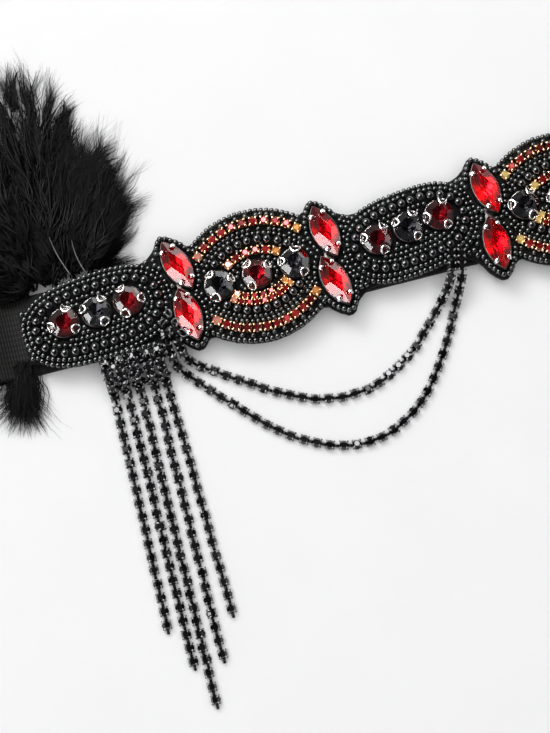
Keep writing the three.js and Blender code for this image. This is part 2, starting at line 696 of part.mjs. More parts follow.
// Felt strip: all fields, a tab under the fringe's header and a slot for the plume's tab
function feltStrip() {
  const tabDepth = HEADER_DEPTH + LOBE_FIELD_HALF_WIDTH / 2 + FELT_TAB_MARGIN;
  const tabEdge = HEADER_Y - HEADER_DEPTH / 2 - FELT_TAB_MARGIN;
  const tab = new THREE.BoxGeometry(2 * (HEADER_HALF + FELT_TAB_MARGIN), tabDepth, FELT_THICK)
    .translate(HEADER_X, tabEdge + tabDepth / 2, FELT_Z + FELT_THICK / 2);
  const slotDepth = PLUME_TAB_THICK + GAP;
  const slot = new THREE.BoxGeometry(PLUME_TAB_WIDTH + 2 * GAP, 4 * TAB_HALF_LENGTH, 2 * slotDepth)
    .translate(PLUME_X, 0, FELT_Z);
  const fields = [
    ...LOBES.map((lobe) => lobeField(lobe, FELT_MARGIN, FELT_THICK, FELT_Z)),
    ...MEDALLIONS.map((medallion) => medallionField(medallion, FELT_MARGIN, FELT_THICK, FELT_Z)),
    ...PAIRS.flatMap((pair) => pairFields(pair, FELT_MARGIN, FELT_THICK, FELT_Z)),
  ];
  return fuse([...fields, tab]).subtract(toSolid(slot));
}

addPiece('elastic_band', elasticLoop(), 'elastic');
addPiece('felt_backing', toGeometry(feltStrip()), 'felt');
LOBES.forEach((lobe) => addPiece(`bead_bed_${lobe.name}`, toGeometry(lobeBed(lobe)), 'seeds'));
MEDALLIONS.forEach((medallion) => addPiece(
  `bead_bed_${medallion.name}`, toGeometry(medallionBed(medallion)), 'seeds'));

for (const place of roundPlaces()) {
  addPiece(`setting_${place.name}`, roundSetting(), 'silver').position.set(place.x, place.y, 0);
  addPiece(`stone_${place.name}`, turned(stoneRows(STONE_R), ROUND_SIDES), place.look)
    .position.set(place.x, place.y, 0);
}

for (const pair of PAIRS) {
  addPiece(`marquise_setting_${pair.name}`, toGeometry(pairSetting(pair)), 'silver');
  for (const place of marquisePlaces(pair)) {
    const width = MARQUISE_HALF_WIDTH - MARQUISE_INSET;
    const halfLength = MARQUISE_LENGTH / 2 - TIP_INSET_SHARE * MARQUISE_INSET;
    const shape = toMarquise(turned(stoneRows(width), LENS_SIDES), halfLength, width);
    const stone = addPiece(`marquise_${pair.name}_${place.side}`, shape, 'redStone');
    stone.position.set(place.x, place.y, 0);
    stone.rotation.z = radians(place.turn);
  }
}

for (const lobe of LOBES) {
  const ring = addPiece(`pearl_ring_${lobe.name}`, pearlRing(lobe), 'pearls');
  ring.position.set(lobe.x, lobe.y, 0);
  ring.rotation.z = radians(lobe.tilt);
}

for (const medallion of MEDALLIONS) {
  ['upper', 'lower'].forEach((side, i) => {
    const shape = toGeometry(medallionRows());
    const rows = addPiece(`bead_rows_${medallion.name}_${side}`, shape, 'rhinestones');
    rows.position.set(medallion.x, medallion.y, 0);
    rows.rotation.z = radians(medallion.tilt) + i * Math.PI;
  });
}

addPiece('crystal_fringe', toGeometry(fringe()), 'chain');
addPiece('swag_inner', tube(SWAG_INNER, CHAIN_D), 'chain');
addPiece('swag_outer', tube(SWAG_OUTER, CHAIN_D), 'chain');
addPiece('feather_plume', toGeometry(plume()), 'feather');

export default group;
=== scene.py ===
"""Beaded flapper headband with a feather plume, lying on a pale floor.

Lengths are in millimetres until a mesh is made. +X runs along the band, +Y towards the plume's
tip and +Z up, as in the CAD frame.
"""
import math

import bpy
import numpy as np
from mathutils import Matrix, Vector


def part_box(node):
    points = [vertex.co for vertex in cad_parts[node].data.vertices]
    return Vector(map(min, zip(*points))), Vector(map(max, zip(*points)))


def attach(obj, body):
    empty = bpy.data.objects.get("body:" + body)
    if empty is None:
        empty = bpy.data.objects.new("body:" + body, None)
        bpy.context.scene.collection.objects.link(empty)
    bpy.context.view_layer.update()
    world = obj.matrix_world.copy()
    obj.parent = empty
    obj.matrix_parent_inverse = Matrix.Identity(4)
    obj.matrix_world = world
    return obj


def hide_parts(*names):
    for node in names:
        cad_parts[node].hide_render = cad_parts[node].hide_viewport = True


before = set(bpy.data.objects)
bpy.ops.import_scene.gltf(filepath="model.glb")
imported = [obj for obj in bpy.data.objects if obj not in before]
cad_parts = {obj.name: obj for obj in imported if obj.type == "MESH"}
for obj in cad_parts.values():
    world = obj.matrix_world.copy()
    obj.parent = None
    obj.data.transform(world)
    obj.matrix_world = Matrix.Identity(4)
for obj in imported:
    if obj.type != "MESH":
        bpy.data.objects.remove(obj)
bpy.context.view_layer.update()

MM = 0.001
FULL_TURN = 2 * math.pi
FAR = 1e9

# The photograph: its height, its scale, the band's tilt in it and the part's point at its middle
PHOTO_HEIGHT = 733
MM_PER_PIXEL = 0.27
BAND_TILT = 14.5
PHOTO_MIDDLE = (-44.4, -25.1, 5.0)
CAMERA_ELEVATION = 82
CAMERA_LENS = 90
SENSOR = 36

# Stack of the band, from the floor up
ELASTIC_WIDTH = 21.8
ELASTIC_THICK = 1.2
FOLD_RADIUS = 4.0
FOLD_RUN = 14.0
ELASTIC_TOP = 2.7
FELT_Z = 3.0
FELT_TOP = 5.4
BED_Z = 5.7
BED_TOP = 6.7
FELT_MARGIN = 0.5
STRIP_HALF = 108.8
SLOT_HALF = 7.3
SLOT_DEPTH = 1.5

# Beadwork
SEED_D = 1.45
SEED_PITCH = 1.46
PEARL_D = 2.5
PEARL_PITCH = 2.7
PEARL_Z = 8.2
CRYSTAL_Z = 8.3
RHINESTONE_D = 2.75
SMALL_RHINESTONE_D = 2.1
SETTING_R = 4.2
STONE_R = 4.0
MARQUISE_LENGTH = 15.4
MARQUISE_WIDTH = 7.2
PAIR_BORDER = 1.6

# Stones: heights of the culet, girdle and table
CULET_Z = 6.5
GIRDLE_Z = 8.9
GIRDLE_TOP_Z = 9.25
TABLE_Z = 10.6
TABLE_SHARE = 0.54
BOWL_SHARE = 0.5

# Fields of beads
OVAL_POWER = 2.6
LOBE_FIELD = (18.7, 11.2)
LOBE_RING = (15.5, 8.0)
LOBE_LONGER = {"l1": 1.6, "l2": 0.0, "l3": 1.6}
LENS_DROP = 6.2
LENS_R = 23.8
LOBE_DROPS = {"l1": 0.9, "l2": 1.3, "l3": 1.1}
PAIRS_OF = {"m1": ("p1", "p2"), "m2": ("p3", "p4")}
# Rows of seed beads, as offsets from the edge of their field
LOBE_SEED_ROWS = (0.05, -1.35, -5.0, -6.45, -7.9, -9.3)
MEDALLION_SEED_ROWS = (0.05, -1.3, -5.1, -6.35, -10.2, -11.6, -13.0, -14.4)

# Chains
CHAIN_D = 2.4
CHAIN_LINK_D = 2.9
CHAIN_PITCH = 3.5
CHAIN_LOW_Z = 1.2
HEADER = (-81.1, -13.05)
HEADER_HALF = 8.4
HEADER_DEPTH = 2.8
FRINGE_LENGTH = 91.8
# Each strand: its place on the header, the place of its end, and its share of the fringe's length
STRANDS = [(-7.3, -8.5, 0.758), (-3.7, -4.2, 0.879), (-0.1, -0.8, 1.0), (3.9, 3.8, 0.879), (7.2, 9.2, 0.758)]
SWAG_INNER = [
    (-68, -9.2, 8.2), (-68, -12.6, 7.9), (-66.8, -17, 3.6), (-61.6, -20.9, 1.2), (-53.5, -26.4, 1.2),
    (-44.6, -31.9, 1.2), (-33.5, -36.5, 1.2), (-20.5, -36.6, 1.2), (-8.5, -30.9, 1.2), (0.6, -22.5, 1.2),
    (5.4, -17.2, 3.2), (8.2, -12.6, 8.1), (9.3, -7.6, 8.4),
]
SWAG_OUTER = [
    (-70.8, -9.6, 8.2), (-71, -13.4, 7.8), (-70, -18.2, 3.4), (-65.3, -23.6, 1.2), (-57.5, -32.1, 1.2),
    (-49.7, -39.9, 1.2), (-40.6, -46.4, 1.2), (-29.1, -50.7, 1.2), (-17.6, -49.5, 1.2), (-7.1, -42.9, 1.2),
    (1.2, -32.2, 1.2), (6.9, -22.2, 1.6), (10.7, -14, 6.6), (12.2, -8, 8.4),
]

# Plume
PLUME_ROOT = (-96.1, 14.6)
PLUME_LEAN = 20
PLUME_LENGTH = 80.0
# Outline of the plume: degrees clockwise from its lean, and the reach there as a share of its length
PLUME_REACH = [
    (-76, 0.34), (-64, 0.42), (-52, 0.5), (-40, 0.57), (-29, 0.68), (-18, 0.82), (-8, 0.93), (2, 0.96),
    (12, 0.87), (20, 0.80), (29, 0.72), (36, 0.63), (44, 0.55), (52, 0.50), (60, 0.46), (68, 0.44),
    (74, 0.41), (79, 0.37), (85, 0.33), (92, 0.28), (104, 0.24), (116, 0.2),
]
PLUME_FOOT = 12.0
PLUME_FOOT_LINE = (12.3, 0.146)
PLUME_TOP = 9.5
TAIL_ROOT = (-110.6, -10.0)
BARB_POINTS = 18


# Mesh building


class Form:
    """Points, faces, and a look, a shading and a tone for each, put together piece by piece."""

    def __init__(self):
        self.points = []
        self.faces = []
        self.looks = []
        self.flat = []
        self.tones = []
        self.count = 0

    def add(self, points, faces, look=0, flat=False, tone=0.5):
        points = np.asarray(points, float)
        start = self.count
        self.points.append(points)
        self.faces.extend(tuple(start + i for i in face) for face in faces)
        self.looks.extend([look] * len(faces))
        self.flat.extend([flat] * len(faces))
        self.tones.append(np.full(len(points), tone, float))
        self.count += len(points)
        return self

    def stamp(self, other, turns, origins, tones):
        """Adds a copy of another form for each turn and origin."""
        base = np.concatenate(other.points)
        moved = np.einsum("mij,nj->mni", np.asarray(turns, float), base)
        moved += np.asarray(origins, float)[:, None]
        for copy, tone in zip(moved, tones):
            start = self.count
            self.points.append(copy)
            self.faces.extend(tuple(start + i for i in face) for face in other.faces)
            self.looks.extend(other.looks)
            self.flat.extend(other.flat)
            self.tones.append(np.full(len(copy), tone, float))
            self.count += len(copy)
        return self


def make_piece(form, name, slot, materials, replaces=()):
    mesh = bpy.data.meshes.new(name)
    points = np.concatenate(form.points)
    points[:, 2] = np.maximum(points[:, 2], 0)
    mesh.from_pydata((points * MM).tolist(), [], form.faces)
    mesh.polygons.foreach_set("material_index", np.array(form.looks, np.int32))
    mesh.polygons.foreach_set("use_smooth", ~np.array(form.flat, bool))
    tone = mesh.attributes.new("tone", "FLOAT", "POINT")
    tone.data.foreach_set("value", np.concatenate(form.tones).astype(np.float32))
    for material in materials:
        mesh.materials.append(material)
    mesh.update()
    piece = bpy.data.objects.new(name, mesh)
    bpy.context.scene.collection.objects.link(piece)
    if replaces:
        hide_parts(*replaces)
    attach(piece, "root")
    return piece


def lathe(rows, sides, closed=False):
    """Points and faces of rows of radius and height turned about Z, from below to above."""
    angles = np.arange(sides) * FULL_TURN / sides
    points, rings, faces = [], [], []
    for radius, height in rows:
        first = len(points)
        if radius < 1e-6:
            points.append((0, 0, height))
            rings.append([first] * sides)
        else:
            points.extend((radius * math.cos(a), radius * math.sin(a), height) for a in angles)
            rings.append(list(range(first, first + sides)))
    for low, high in zip(rings, rings[1:] + (rings[:1] if closed else [])):
        for i in range(sides):
            j = (i + 1) % sides
            face = (low[i], low[j], high[j], high[i])
            faces.append(tuple(dict.fromkeys(face)))
    return points, [face for face in faces if len(face) > 2]


def grid_faces(rows, columns, start=0, loop_rows=False, loop_columns=False, flip=False):
    """Quads between the neighbours of a grid of points; either way of the grid can close on itself."""
    faces = []
    for k in range(rows if loop_rows else rows - 1):
        here, there = start + k * columns, start + (k + 1) % rows * columns
        for i in range(columns if loop_columns else columns - 1):
            j = (i + 1) % columns
            a, b, c, d = here + i, there + i, there + j, here + j
            faces.append((a, d, c, b) if flip else (a, b, c, d))
    return faces


def sweep(path, width, height, up=(0, 0, 1), sides=8, closed=False, taper=None, start_angle=0.0):
    """An oval section carried along a path, with flat ends unless it closes on itself."""
    path = np.asarray(path, float)
    if closed:
        tangent = np.roll(path, -1, 0) - np.roll(path, 1, 0)
    else:
        tangent = np.gradient(path, axis=0)
    tangent /= np.linalg.norm(tangent, axis=1)[:, None]
    side = np.cross(tangent, np.broadcast_to(np.asarray(up, float), path.shape))
    side /= np.linalg.norm(side, axis=1)[:, None]
    top = np.cross(side, tangent)
    share = np.ones(len(path)) if taper is None else np.asarray(taper, float)
    angles = start_angle + np.arange(sides) * FULL_TURN / sides
    points = (
        path[:, None]
        + side[:, None] * (np.cos(angles)[:, None] * width / 2) * share[:, None, None]
        + top[:, None] * (np.sin(angles)[:, None] * height / 2) * share[:, None, None]
    ).reshape(-1, 3)
    rings = len(path)
    faces = grid_faces(rings, sides, loop_rows=closed, loop_columns=True)
    if not closed:
        faces.append(tuple(range(sides)))
        faces.append(tuple(reversed(range((rings - 1) * sides, rings * sides))))
    return points, faces


def turn_z(degrees):
    a = math.radians(degrees)
    return np.array([[math.cos(a), -math.sin(a), 0], [math.sin(a), math.cos(a), 0], [0, 0, 1]])


def axes(along, up=(0, 0, 1)):
    """Rotation whose X follows a direction and whose Z stays as near up as it can."""
    x = np.asarray(along, float) / np.linalg.norm(along)
    y = np.cross(up, x)
    y /= np.linalg.norm(y)
    return np.column_stack([x, y, np.cross(x, y)])


def smooth_path(points, floor=CHAIN_LOW_Z, steps=24):
    """Centripetal Catmull-Rom curve through points, kept at a chain's height above the floor."""
    p = np.asarray(points, float)
    p = np.vstack([2 * p[0] - p[1], p, 2 * p[-1] - p[-2]])
    curve = []
    for a, b, c, d in zip(p, p[1:], p[2:], p[3:]):
        t1 = np.linalg.norm(b - a) ** 0.5
        t2 = t1 + np.linalg.norm(c - b) ** 0.5
        t3 = t2 + np.linalg.norm(d - c) ** 0.5
        for t in np.linspace(t1, t2, steps, endpoint=False):
            a1 = a * (t1 - t) / t1 + b * t / t1
            a2 = b * (t2 - t) / (t2 - t1) + c * (t - t1) / (t2 - t1)
            a3 = c * (t3 - t) / (t3 - t2) + d * (t - t2) / (t3 - t2)
            b1 = a1 * (t2 - t) / t2 + a2 * t / t2
            b2 = a2 * (t3 - t) / (t3 - t1) + a3 * (t - t1) / (t3 - t1)
            curve.append(b1 * (t2 - t) / (t2 - t1) + b2 * (t - t1) / (t2 - t1))
    curve.append(p[-2])
    curve = np.array(curve)
    curve[:, 2] = np.maximum(curve[:, 2], floor)
    return curve


def spaced(path, pitch=None, count=None, closed=False):
    """Points at even steps along a path, and the path's direction at each."""
    path = np.asarray(path, float)
    if closed:
        path = np.vstack([path, path[:1]])
    lengths = np.concatenate([[0], np.cumsum(np.linalg.norm(np.diff(path, axis=0), axis=1))])
    steps = count or max(2, round(lengths[-1] / pitch))
    at = np.linspace(0, lengths[-1], steps + 1)[:-1] if closed else np.linspace(0, lengths[-1], steps)
    place = lambda s: np.column_stack([np.interp(s, lengths, values) for values in path.T])
    direction = place(at + 0.05) - place(at - 0.05)
    return place(at), direction / np.linalg.norm(direction, axis=1)[:, None]


# Materials


def add_ramp(nodes, links, source, stops):
    ramp = nodes.new("ShaderNodeValToRGB")
    elements = ramp.color_ramp.elements
    while len(elements) < len(stops):
        elements.new(0.5)
    for element, (position, colour) in zip(elements, stops):
        element.position = position
        element.color = (*colour, 1)
    links.new(source, ramp.inputs["Fac"])
    return ramp.outputs["Color"]


class Surface:
    """A material being put together: plain values first, then what its colour, bump or polish follows."""

    def __init__(self, name, values):
        self.material = bpy.data.materials.new(name)
        self.material.use_nodes = True
        self.nodes = self.material.node_tree.nodes
        self.links = self.material.node_tree.links
        self.shader = self.nodes["Principled BSDF"]
        for key, value in values.items():
            self.shader.inputs[key].default_value = value

    def add(self, kind, values):
        node = self.nodes.new(kind)
        for key, value in values.items():
            node.inputs[key].default_value = value
        return node

    def pattern(self, kind, values):
        """A pattern fixed to the piece's own place."""
        node = self.add(kind, values)
        self.links.new(self.nodes.new("ShaderNodeTexCoord").outputs["Object"], node.inputs["Vector"])
        return node.outputs["Fac"]

    def noise(self, scale, detail=3.0):
        return self.pattern("ShaderNodeTexNoise", {"Scale": scale, "Detail": detail})

    def tone(self):
        """The tone that make_piece stores for each bead, facet or barb."""
        node = self.nodes.new("ShaderNodeAttribute")
        node.attribute_name = "tone"
        return node.outputs["Fac"]

    def colour(self, source, stops):
        self.links.new(add_ramp(self.nodes, self.links, source, stops), self.shader.inputs["Base Color"])

    def bump(self, height, strength, distance):
        node = self.add("ShaderNodeBump", {"Strength": strength, "Distance": distance})
        self.links.new(height, node.inputs["Height"])
        self.links.new(node.outputs["Normal"], self.shader.inputs["Normal"])


def bead_material(name, stops, roughness, specular, grain=900.0):
    """Dark glass beads, each a little different, with faint ripples in the polish."""
    surface = Surface(name, {
        "Roughness": roughness, "IOR": 1.6, "Specular IOR Level": specular, "Coat Weight": 0.4,
        "Coat Roughness": 0.06})
    surface.colour(surface.tone(), stops)
    surface.bump(surface.noise(grain), 0.15, 0.0001)
    return surface.material


def metal_material(name, dark, light, roughness, grain=1400.0):
    """Plated metal with small changes of colour and polish."""
    surface = Surface(name, {"Metallic": 1.0})
    wear = surface.noise(grain, 5.0)
    surface.colour(wear, [(0.3, dark), (0.7, light)])
    polish = surface.add("ShaderNodeMapRange", {"To Min": roughness * 0.7, "To Max": roughness * 1.4})
    surface.links.new(wear, polish.inputs["Value"])
    surface.links.new(polish.outputs["Result"], surface.shader.inputs["Roughness"])
    surface.bump(wear, 0.12, 0.0001)
    return surface.material


def crystal_material(name, stops):
    """Clear tinted glass of a cut stone's crown."""
    surface = Surface(name, {"Roughness": 0.015, "IOR": 1.58, "Transmission Weight": 1.0})
    surface.colour(surface.noise(260.0), stops)
    return surface.material


def foil_material(name, stops, roughness=0.12):
    """Mirror foil behind a cut stone, each facet with its own tone."""
    surface = Surface(name, {"Metallic": 1.0, "Roughness": roughness})
    surface.colour(surface.tone(), stops)
    return surface.material


def gem_paste_material(name, stops):
    """Small foiled stones, seen as glossy coloured facets."""
    surface = Surface(name, {"Metallic": 0.35, "Roughness": 0.16, "Coat Weight": 0.5, "Coat Roughness": 0.04})
    surface.colour(surface.tone(), stops)
    return surface.material


def felt_material(name, dark, light):
    surface = Surface(name, {
        "Roughness": 0.95, "Specular IOR Level": 0.15, "Sheen Weight": 0.03, "Sheen Roughness": 0.5})
    fibre = surface.noise(2600.0, 8.0)
    surface.colour(fibre, [(0.35, dark), (0.7, light)])
    surface.bump(fibre, 0.6, 0.0003)
    return surface.material


def elastic_material(name, dark, light):
    """Woven elastic: fine cross threads over the ribs that its shape has."""
    surface = Surface(name, {"Roughness": 0.75, "Specular IOR Level": 0.2})
    weave = surface.pattern("ShaderNodeTexWave", {"Scale": 420.0, "Distortion": 0.6})
    surface.colour(weave, [(0.1, dark), (0.9, light)])
    surface.bump(weave, 0.5, 0.0002)
    return surface.material


def feather_material(name, stops):
    surface = Surface(name, {"Roughness": 0.6, "Specular IOR Level": 0.12})
    surface.colour(surface.tone(), stops)
    surface.bump(surface.noise(3000.0), 0.2, 0.0001)
    return surface.material


SEEDS = bead_material(
    "seed_glass",
    [(0.0, (0.003, 0.0035, 0.0035)), (0.6, (0.008, 0.010, 0.009)), (1.0, (0.028, 0.038, 0.033))], 0.14, 0.45)
PEARLS = bead_material(
    "pearl_glass", [(0.0, (0.003, 0.003, 0.004)), (1.0, (0.008, 0.009, 0.011))], 0.1, 0.45, 500.0)
SILVER = metal_material("silver_plate", (0.78, 0.76, 0.75), (0.95, 0.94, 0.93), 0.16)
# The setting cups get a much darker copy of the silver plate: painted shade for their dim rims.
SHADED_SILVER_CUP = metal_material("dark_cup", (0.05, 0.045, 0.045), (0.20, 0.17, 0.16), 0.35)
ROSE_GOLD = metal_material("rose_gold_claws", (0.80, 0.48, 0.27), (0.96, 0.72, 0.46), 0.22)
GUNMETAL = metal_material("gunmetal", (0.010, 0.010, 0.011), (0.04, 0.04, 0.042), 0.4)
# The chain's claws get a lighter grey than their gunmetal cups: a painted sheen for the light-grey glints at
# each link's corners.
CLAW_SHEEN = metal_material("polished_claws", (0.13, 0.13, 0.135), (0.27, 0.27, 0.28), 0.45)
DULL_CLAWS = metal_material("dull_claws", (0.07, 0.07, 0.07), (0.19, 0.19, 0.20), 0.5)
FELT = felt_material("black_felt", (0.002, 0.002, 0.002), (0.010, 0.010, 0.010))
ELASTIC = elastic_material("woven_elastic", (0.002, 0.002, 0.002), (0.010, 0.010, 0.009))
RED_GLASS = crystal_material("red_glass", [(0.3, (1.0, 0.28, 0.30)), (0.7, (1.0, 0.42, 0.42))])
RED_FOIL = foil_material(
    "red_foil", [(0.0, (0.36, 0.0, 0.008)), (0.5, (0.62, 0.005, 0.02)), (1.0, (0.90, 0.05, 0.07))], 0.2)
WINE_GLASS = crystal_material("wine_glass", [(0.3, (0.85, 0.26, 0.28)), (0.7, (0.95, 0.40, 0.42))])
WINE_FOIL = foil_material(
    "wine_foil", [(0.0, (0.03, 0.0, 0.003)), (0.6, (0.09, 0.006, 0.010)), (1.0, (0.24, 0.018, 0.026))], 0.28)
SPARK_FOIL = foil_material(
    "spark_foil", [(0.0, (0.04, 0.0, 0.004)), (0.6, (0.18, 0.01, 0.02)), (1.0, (0.80, 0.02, 0.03))], 0.16)
JET_GLASS = crystal_material("jet_glass", [(0.3, (0.16, 0.16, 0.17)), (0.7, (0.26, 0.26, 0.28))])
JET_FOIL = foil_material(
    "jet_foil", [(0.0, (0.01, 0.01, 0.012)), (0.7, (0.10, 0.10, 0.11)), (1.0, (0.35, 0.35, 0.38))])
FIRE_STONES = gem_paste_material(
    "fire_stones",
    [(0.0, (0.10, 0.002, 0.004)), (0.5, (0.34, 0.008, 0.012)), (0.72, (0.60, 0.05, 0.05)),
     (0.84, (0.85, 0.36, 0.28)), (0.92, (0.80, 0.34, 0.06)), (1.0, (0.85, 0.66, 0.24))])
BLACK_STONES = gem_paste_material(
    "black_stones", [(0.0, (0.002, 0.002, 0.002)), (1.0, (0.012, 0.012, 0.013))])
FEATHER = feather_material(
    "black_down",
    [(0.0, (0.001, 0.001, 0.001)), (0.75, (0.003, 0.003, 0.0035)), (1.0, (0.014, 0.014, 0.016))])
QUILL = feather_material("pale_quill", [(0.0, (0.05, 0.05, 0.05)), (1.0, (0.30, 0.29, 0.28))])


# Places of the modules, from the CAD pieces that stay where they are


def centre_of(node):
    low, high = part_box(node)
    return np.array((low + high) / 2)[:2] / MM


def long_axis(node):
    """Direction in plan of a long node's own length, in degrees."""
    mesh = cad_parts[node].data
    flat = np.array([v.co[:2] for v in mesh.vertices])
    spread = np.linalg.eigh(np.cov((flat - flat.mean(0)).T))[1][:, -1]
    angle = math.degrees(math.atan2(spread[1], spread[0]))
    return angle % 180


class Module:
    """A lobe or medallion: its middle, its tilt and its three stones."""

    def __init__(self, name, drop=0.0):
        self.name = name
        self.stones = {side: centre_of(f"stone_{name}_{side}") for side in ("left", "middle", "right")}
        across = self.stones["right"] - self.stones["left"]
        self.tilt = math.degrees(math.atan2(across[1], across[0]))
        self.turn = turn_z(self.tilt)
        self.middle = self.stones["middle"] + (self.turn[:2, :2] @ np.array([0, -drop]))
        longer = LOBE_LONGER.get(name, 0.0)
        self.field = (LOBE_FIELD[0] + longer, LOBE_FIELD[1])
        self.ring = (LOBE_RING[0] + longer, LOBE_RING[1])

    def place(self, points):
        """Points of the module's own plan, in the band's."""
        points = np.atleast_2d(points)
        moved = points.copy()
        moved[:, :2] = points[:, :2] @ self.turn[:2, :2].T + self.middle
        return moved

    def local(self, points):
        return (np.atleast_2d(points)[:, :2] - self.middle) @ self.turn[:2, :2]


LOBES = {name: Module(name, drop) for name, drop in LOBE_DROPS.items()}
MEDALLIONS = {name: Module(name) for name in PAIRS_OF}


def lens_radius(half_length, half_width):
    """Radius of the two arcs whose lens has these half sizes."""
    return (half_length**2 + half_width**2) / (2 * half_width)


def lens_half_width(along, half_length, half_width):
    radius = lens_radius(half_length, half_width)
    return np.sqrt(np.maximum(radius**2 - np.asarray(along) ** 2, 0)) - (radius - half_width)


def lens_outline(half_length, half_width, count=120):
    angles = np.arange(count) * FULL_TURN / count
    along = half_length * np.cos(angles)
    side = np.sign(np.sin(angles))
    return np.column_stack([along, side * lens_half_width(along, half_length, half_width)])


def lens_around(half_length, half_width, space, count=120):
    """Outline that keeps a distance from a lens, round at its tips."""
    radius = lens_radius(half_length, half_width)
    tip = math.asin(half_length / radius)
    arc = max(8, count // 3)
    upper = [
        ((radius + space) * math.sin(a), (radius + space) * math.cos(a) - (radius - half_width))
        for a in np.linspace(-tip, tip, arc)
    ]
    end = [
        (half_length + space * math.sin(a), space * math.cos(a))
        for a in np.linspace(tip, math.pi - tip, arc // 2)[1:-1]
    ]
    half = np.array(upper + end)
    return np.vstack([half, -half])


def grown_field(lobe, margin):
    return lobe.field[0] + margin, lobe.field[1] + margin


def oval_outline(half_length, half_width, count=160):
    angles = np.arange(count) * FULL_TURN / count
    share = lambda v: np.sign(v) * np.abs(v) ** (2 / OVAL_POWER)
    return np.column_stack([half_length * share(np.cos(angles)), half_width * share(np.sin(angles))])


def arc_row(y, span, count=60):
    """An arched row above a medallion's stones, through height y on its middle line."""
    angles = np.linspace(-span, span, count)
    radius = y + LENS_DROP
    return np.column_stack([radius * np.sin(angles), radius * np.cos(angles) - LENS_DROP])


class Navette:
    """One pointed stone: its middle, its direction and its outline."""

    def __init__(self, pair, side):
        self.name = f"{pair}_{side}"
        self.node = f"marquise_{self.name}"
        self.middle = centre_of(self.node)
        self.angle = long_axis(self.node)
        self.turn = turn_z(self.angle)

    def outline(self, grow, count=120):
        flat = lens_around(MARQUISE_LENGTH / 2, MARQUISE_WIDTH / 2, grow, count)
        return flat @ self.turn[:2, :2].T + self.middle

    def holds(self, points, grow):
        local = np.abs((np.atleast_2d(points)[:, :2] - self.middle) @ self.turn[:2, :2])
        half_length, half_width = MARQUISE_LENGTH / 2, MARQUISE_WIDTH / 2
        radius = lens_radius(half_length, half_width)
        beside = np.hypot(local[:, 0], local[:, 1] + radius - half_width) < radius + grow
        past = local[:, 0] > half_length * (local[:, 1] + radius - half_width) / (radius - half_width)
        near_tip = np.hypot(local[:, 0] - half_length, local[:, 1]) < grow
        return np.where(past, near_tip, beside)


NAVETTES = {
    f"{pair}_{side}": Navette(pair, side)
    for pairs in PAIRS_OF.values() for pair in pairs for side in ("upper", "lower")
}


def in_oval(points, half_length, half_width):
    return (
        np.abs(points[:, 0] / half_length) ** OVAL_POWER + np.abs(points[:, 1] / half_width) ** OVAL_POWER
    ) < 1


# Elastic loop


def elastic_path():
    """Side view of the folded loop: round folds, easing down to two runs that lie on each other."""
    fold_x = STRIP_HALF + FOLD_RUN
    low = ELASTIC_THICK / 2
    top = ELASTIC_TOP - ELASTIC_THICK / 2
    fold_top = low + 2 * FOLD_RADIUS
    half = []
    for angle in np.linspace(-math.pi / 2, math.pi / 2, 25):
        half.append((fold_x + FOLD_RADIUS * math.cos(angle), low + FOLD_RADIUS * (1 + math.sin(angle))))
    for share in np.linspace(0, 1, 13)[1:]:
        fall = (1 - math.cos(math.pi * share)) / 2
        half.append((fold_x - FOLD_RUN * share, fold_top + (top - fold_top) * fall))
    run = [(x, top) for x in np.linspace(STRIP_HALF, 0, 24)[1:-1]]
    back = [(x, low) for x in np.linspace(0, fold_x, 26)[1:-1]]
    right = [*half, *run]
    left = [(-x, z) for x, z in reversed(right)]
    under = [(-x, z) for x, z in reversed(back)] + [(0, low)] + back
    return np.array([*right, (0, top), *left, *under])


def make_elastic():
    ribs, per_rib = 15, 4
    edge, half_edge, margin, rib = ELASTIC_WIDTH / 2, 0.25, 0.15, 0.14
    path = elastic_path()
    tangent = np.roll(path, -1, 0) - np.roll(path, 1, 0)
    tangent /= np.linalg.norm(tangent, axis=1)[:, None]
    out = np.column_stack([tangent[:, 1], -tangent[:, 0]])
    across = np.linspace(-ELASTIC_WIDTH / 2 + margin, ELASTIC_WIDTH / 2 - margin, ribs * per_rib + 1)
    rise = ELASTIC_THICK / 2 - rib + rib * np.abs(np.sin(np.linspace(0, math.pi * ribs, len(across))))
    outer = list(zip(across, rise))
    section = np.array([
        *outer, (edge, half_edge), (edge, -half_edge),
        *[(y, -h) for y, h in reversed(outer)], (-edge, -half_edge), (-edge, half_edge),
    ])
    points = []
    for (x, z), (nx, nz) in zip(path, out):
        points.append(np.column_stack([x + nx * section[:, 1], section[:, 0], z + nz * section[:, 1]]))
    faces = grid_faces(len(path), len(section), loop_rows=True, loop_columns=True, flip=True)
    form = Form().add(np.concatenate(points), faces)
    elastic = make_piece(form, "elastic_ribbed", "elastic", [ELASTIC], ["elastic_band"])
    return elastic


# Felt strip: every module's outline together, with a soft cut edge


def envelope(outlines, along):
    """Highest and lowest point of closed outlines at places along the strip."""
    upper = np.full(len(along), -FAR)
    lower = np.full(len(along), FAR)
    for outline in outlines:
        closed = np.vstack([outline, outline[:1]])
        for (x0, y0), (x1, y1) in zip(closed, closed[1:]):
            inside = (along >= min(x0, x1)) & (along <= max(x0, x1))
            if not inside.any() or abs(x1 - x0) < 1e-9:
                continue
            y = y0 + (y1 - y0) * (along[inside] - x0) / (x1 - x0)
            upper[inside] = np.maximum(upper[inside], y)
            lower[inside] = np.minimum(lower[inside], y)
    return upper, lower


def close_notches(along, edge, ball):
    """Fills the notches of an edge as far as a ball rolled along it reaches."""
    apart = along[:, None] - along[None]
    rise = np.sqrt(np.maximum(ball**2 - apart**2, 0))
    near = np.abs(apart) < ball
    rolled = np.where(near, edge[None] + rise, -FAR).max(1)
    return np.maximum(edge, np.where(near, rolled[None] - rise, FAR).min(1))


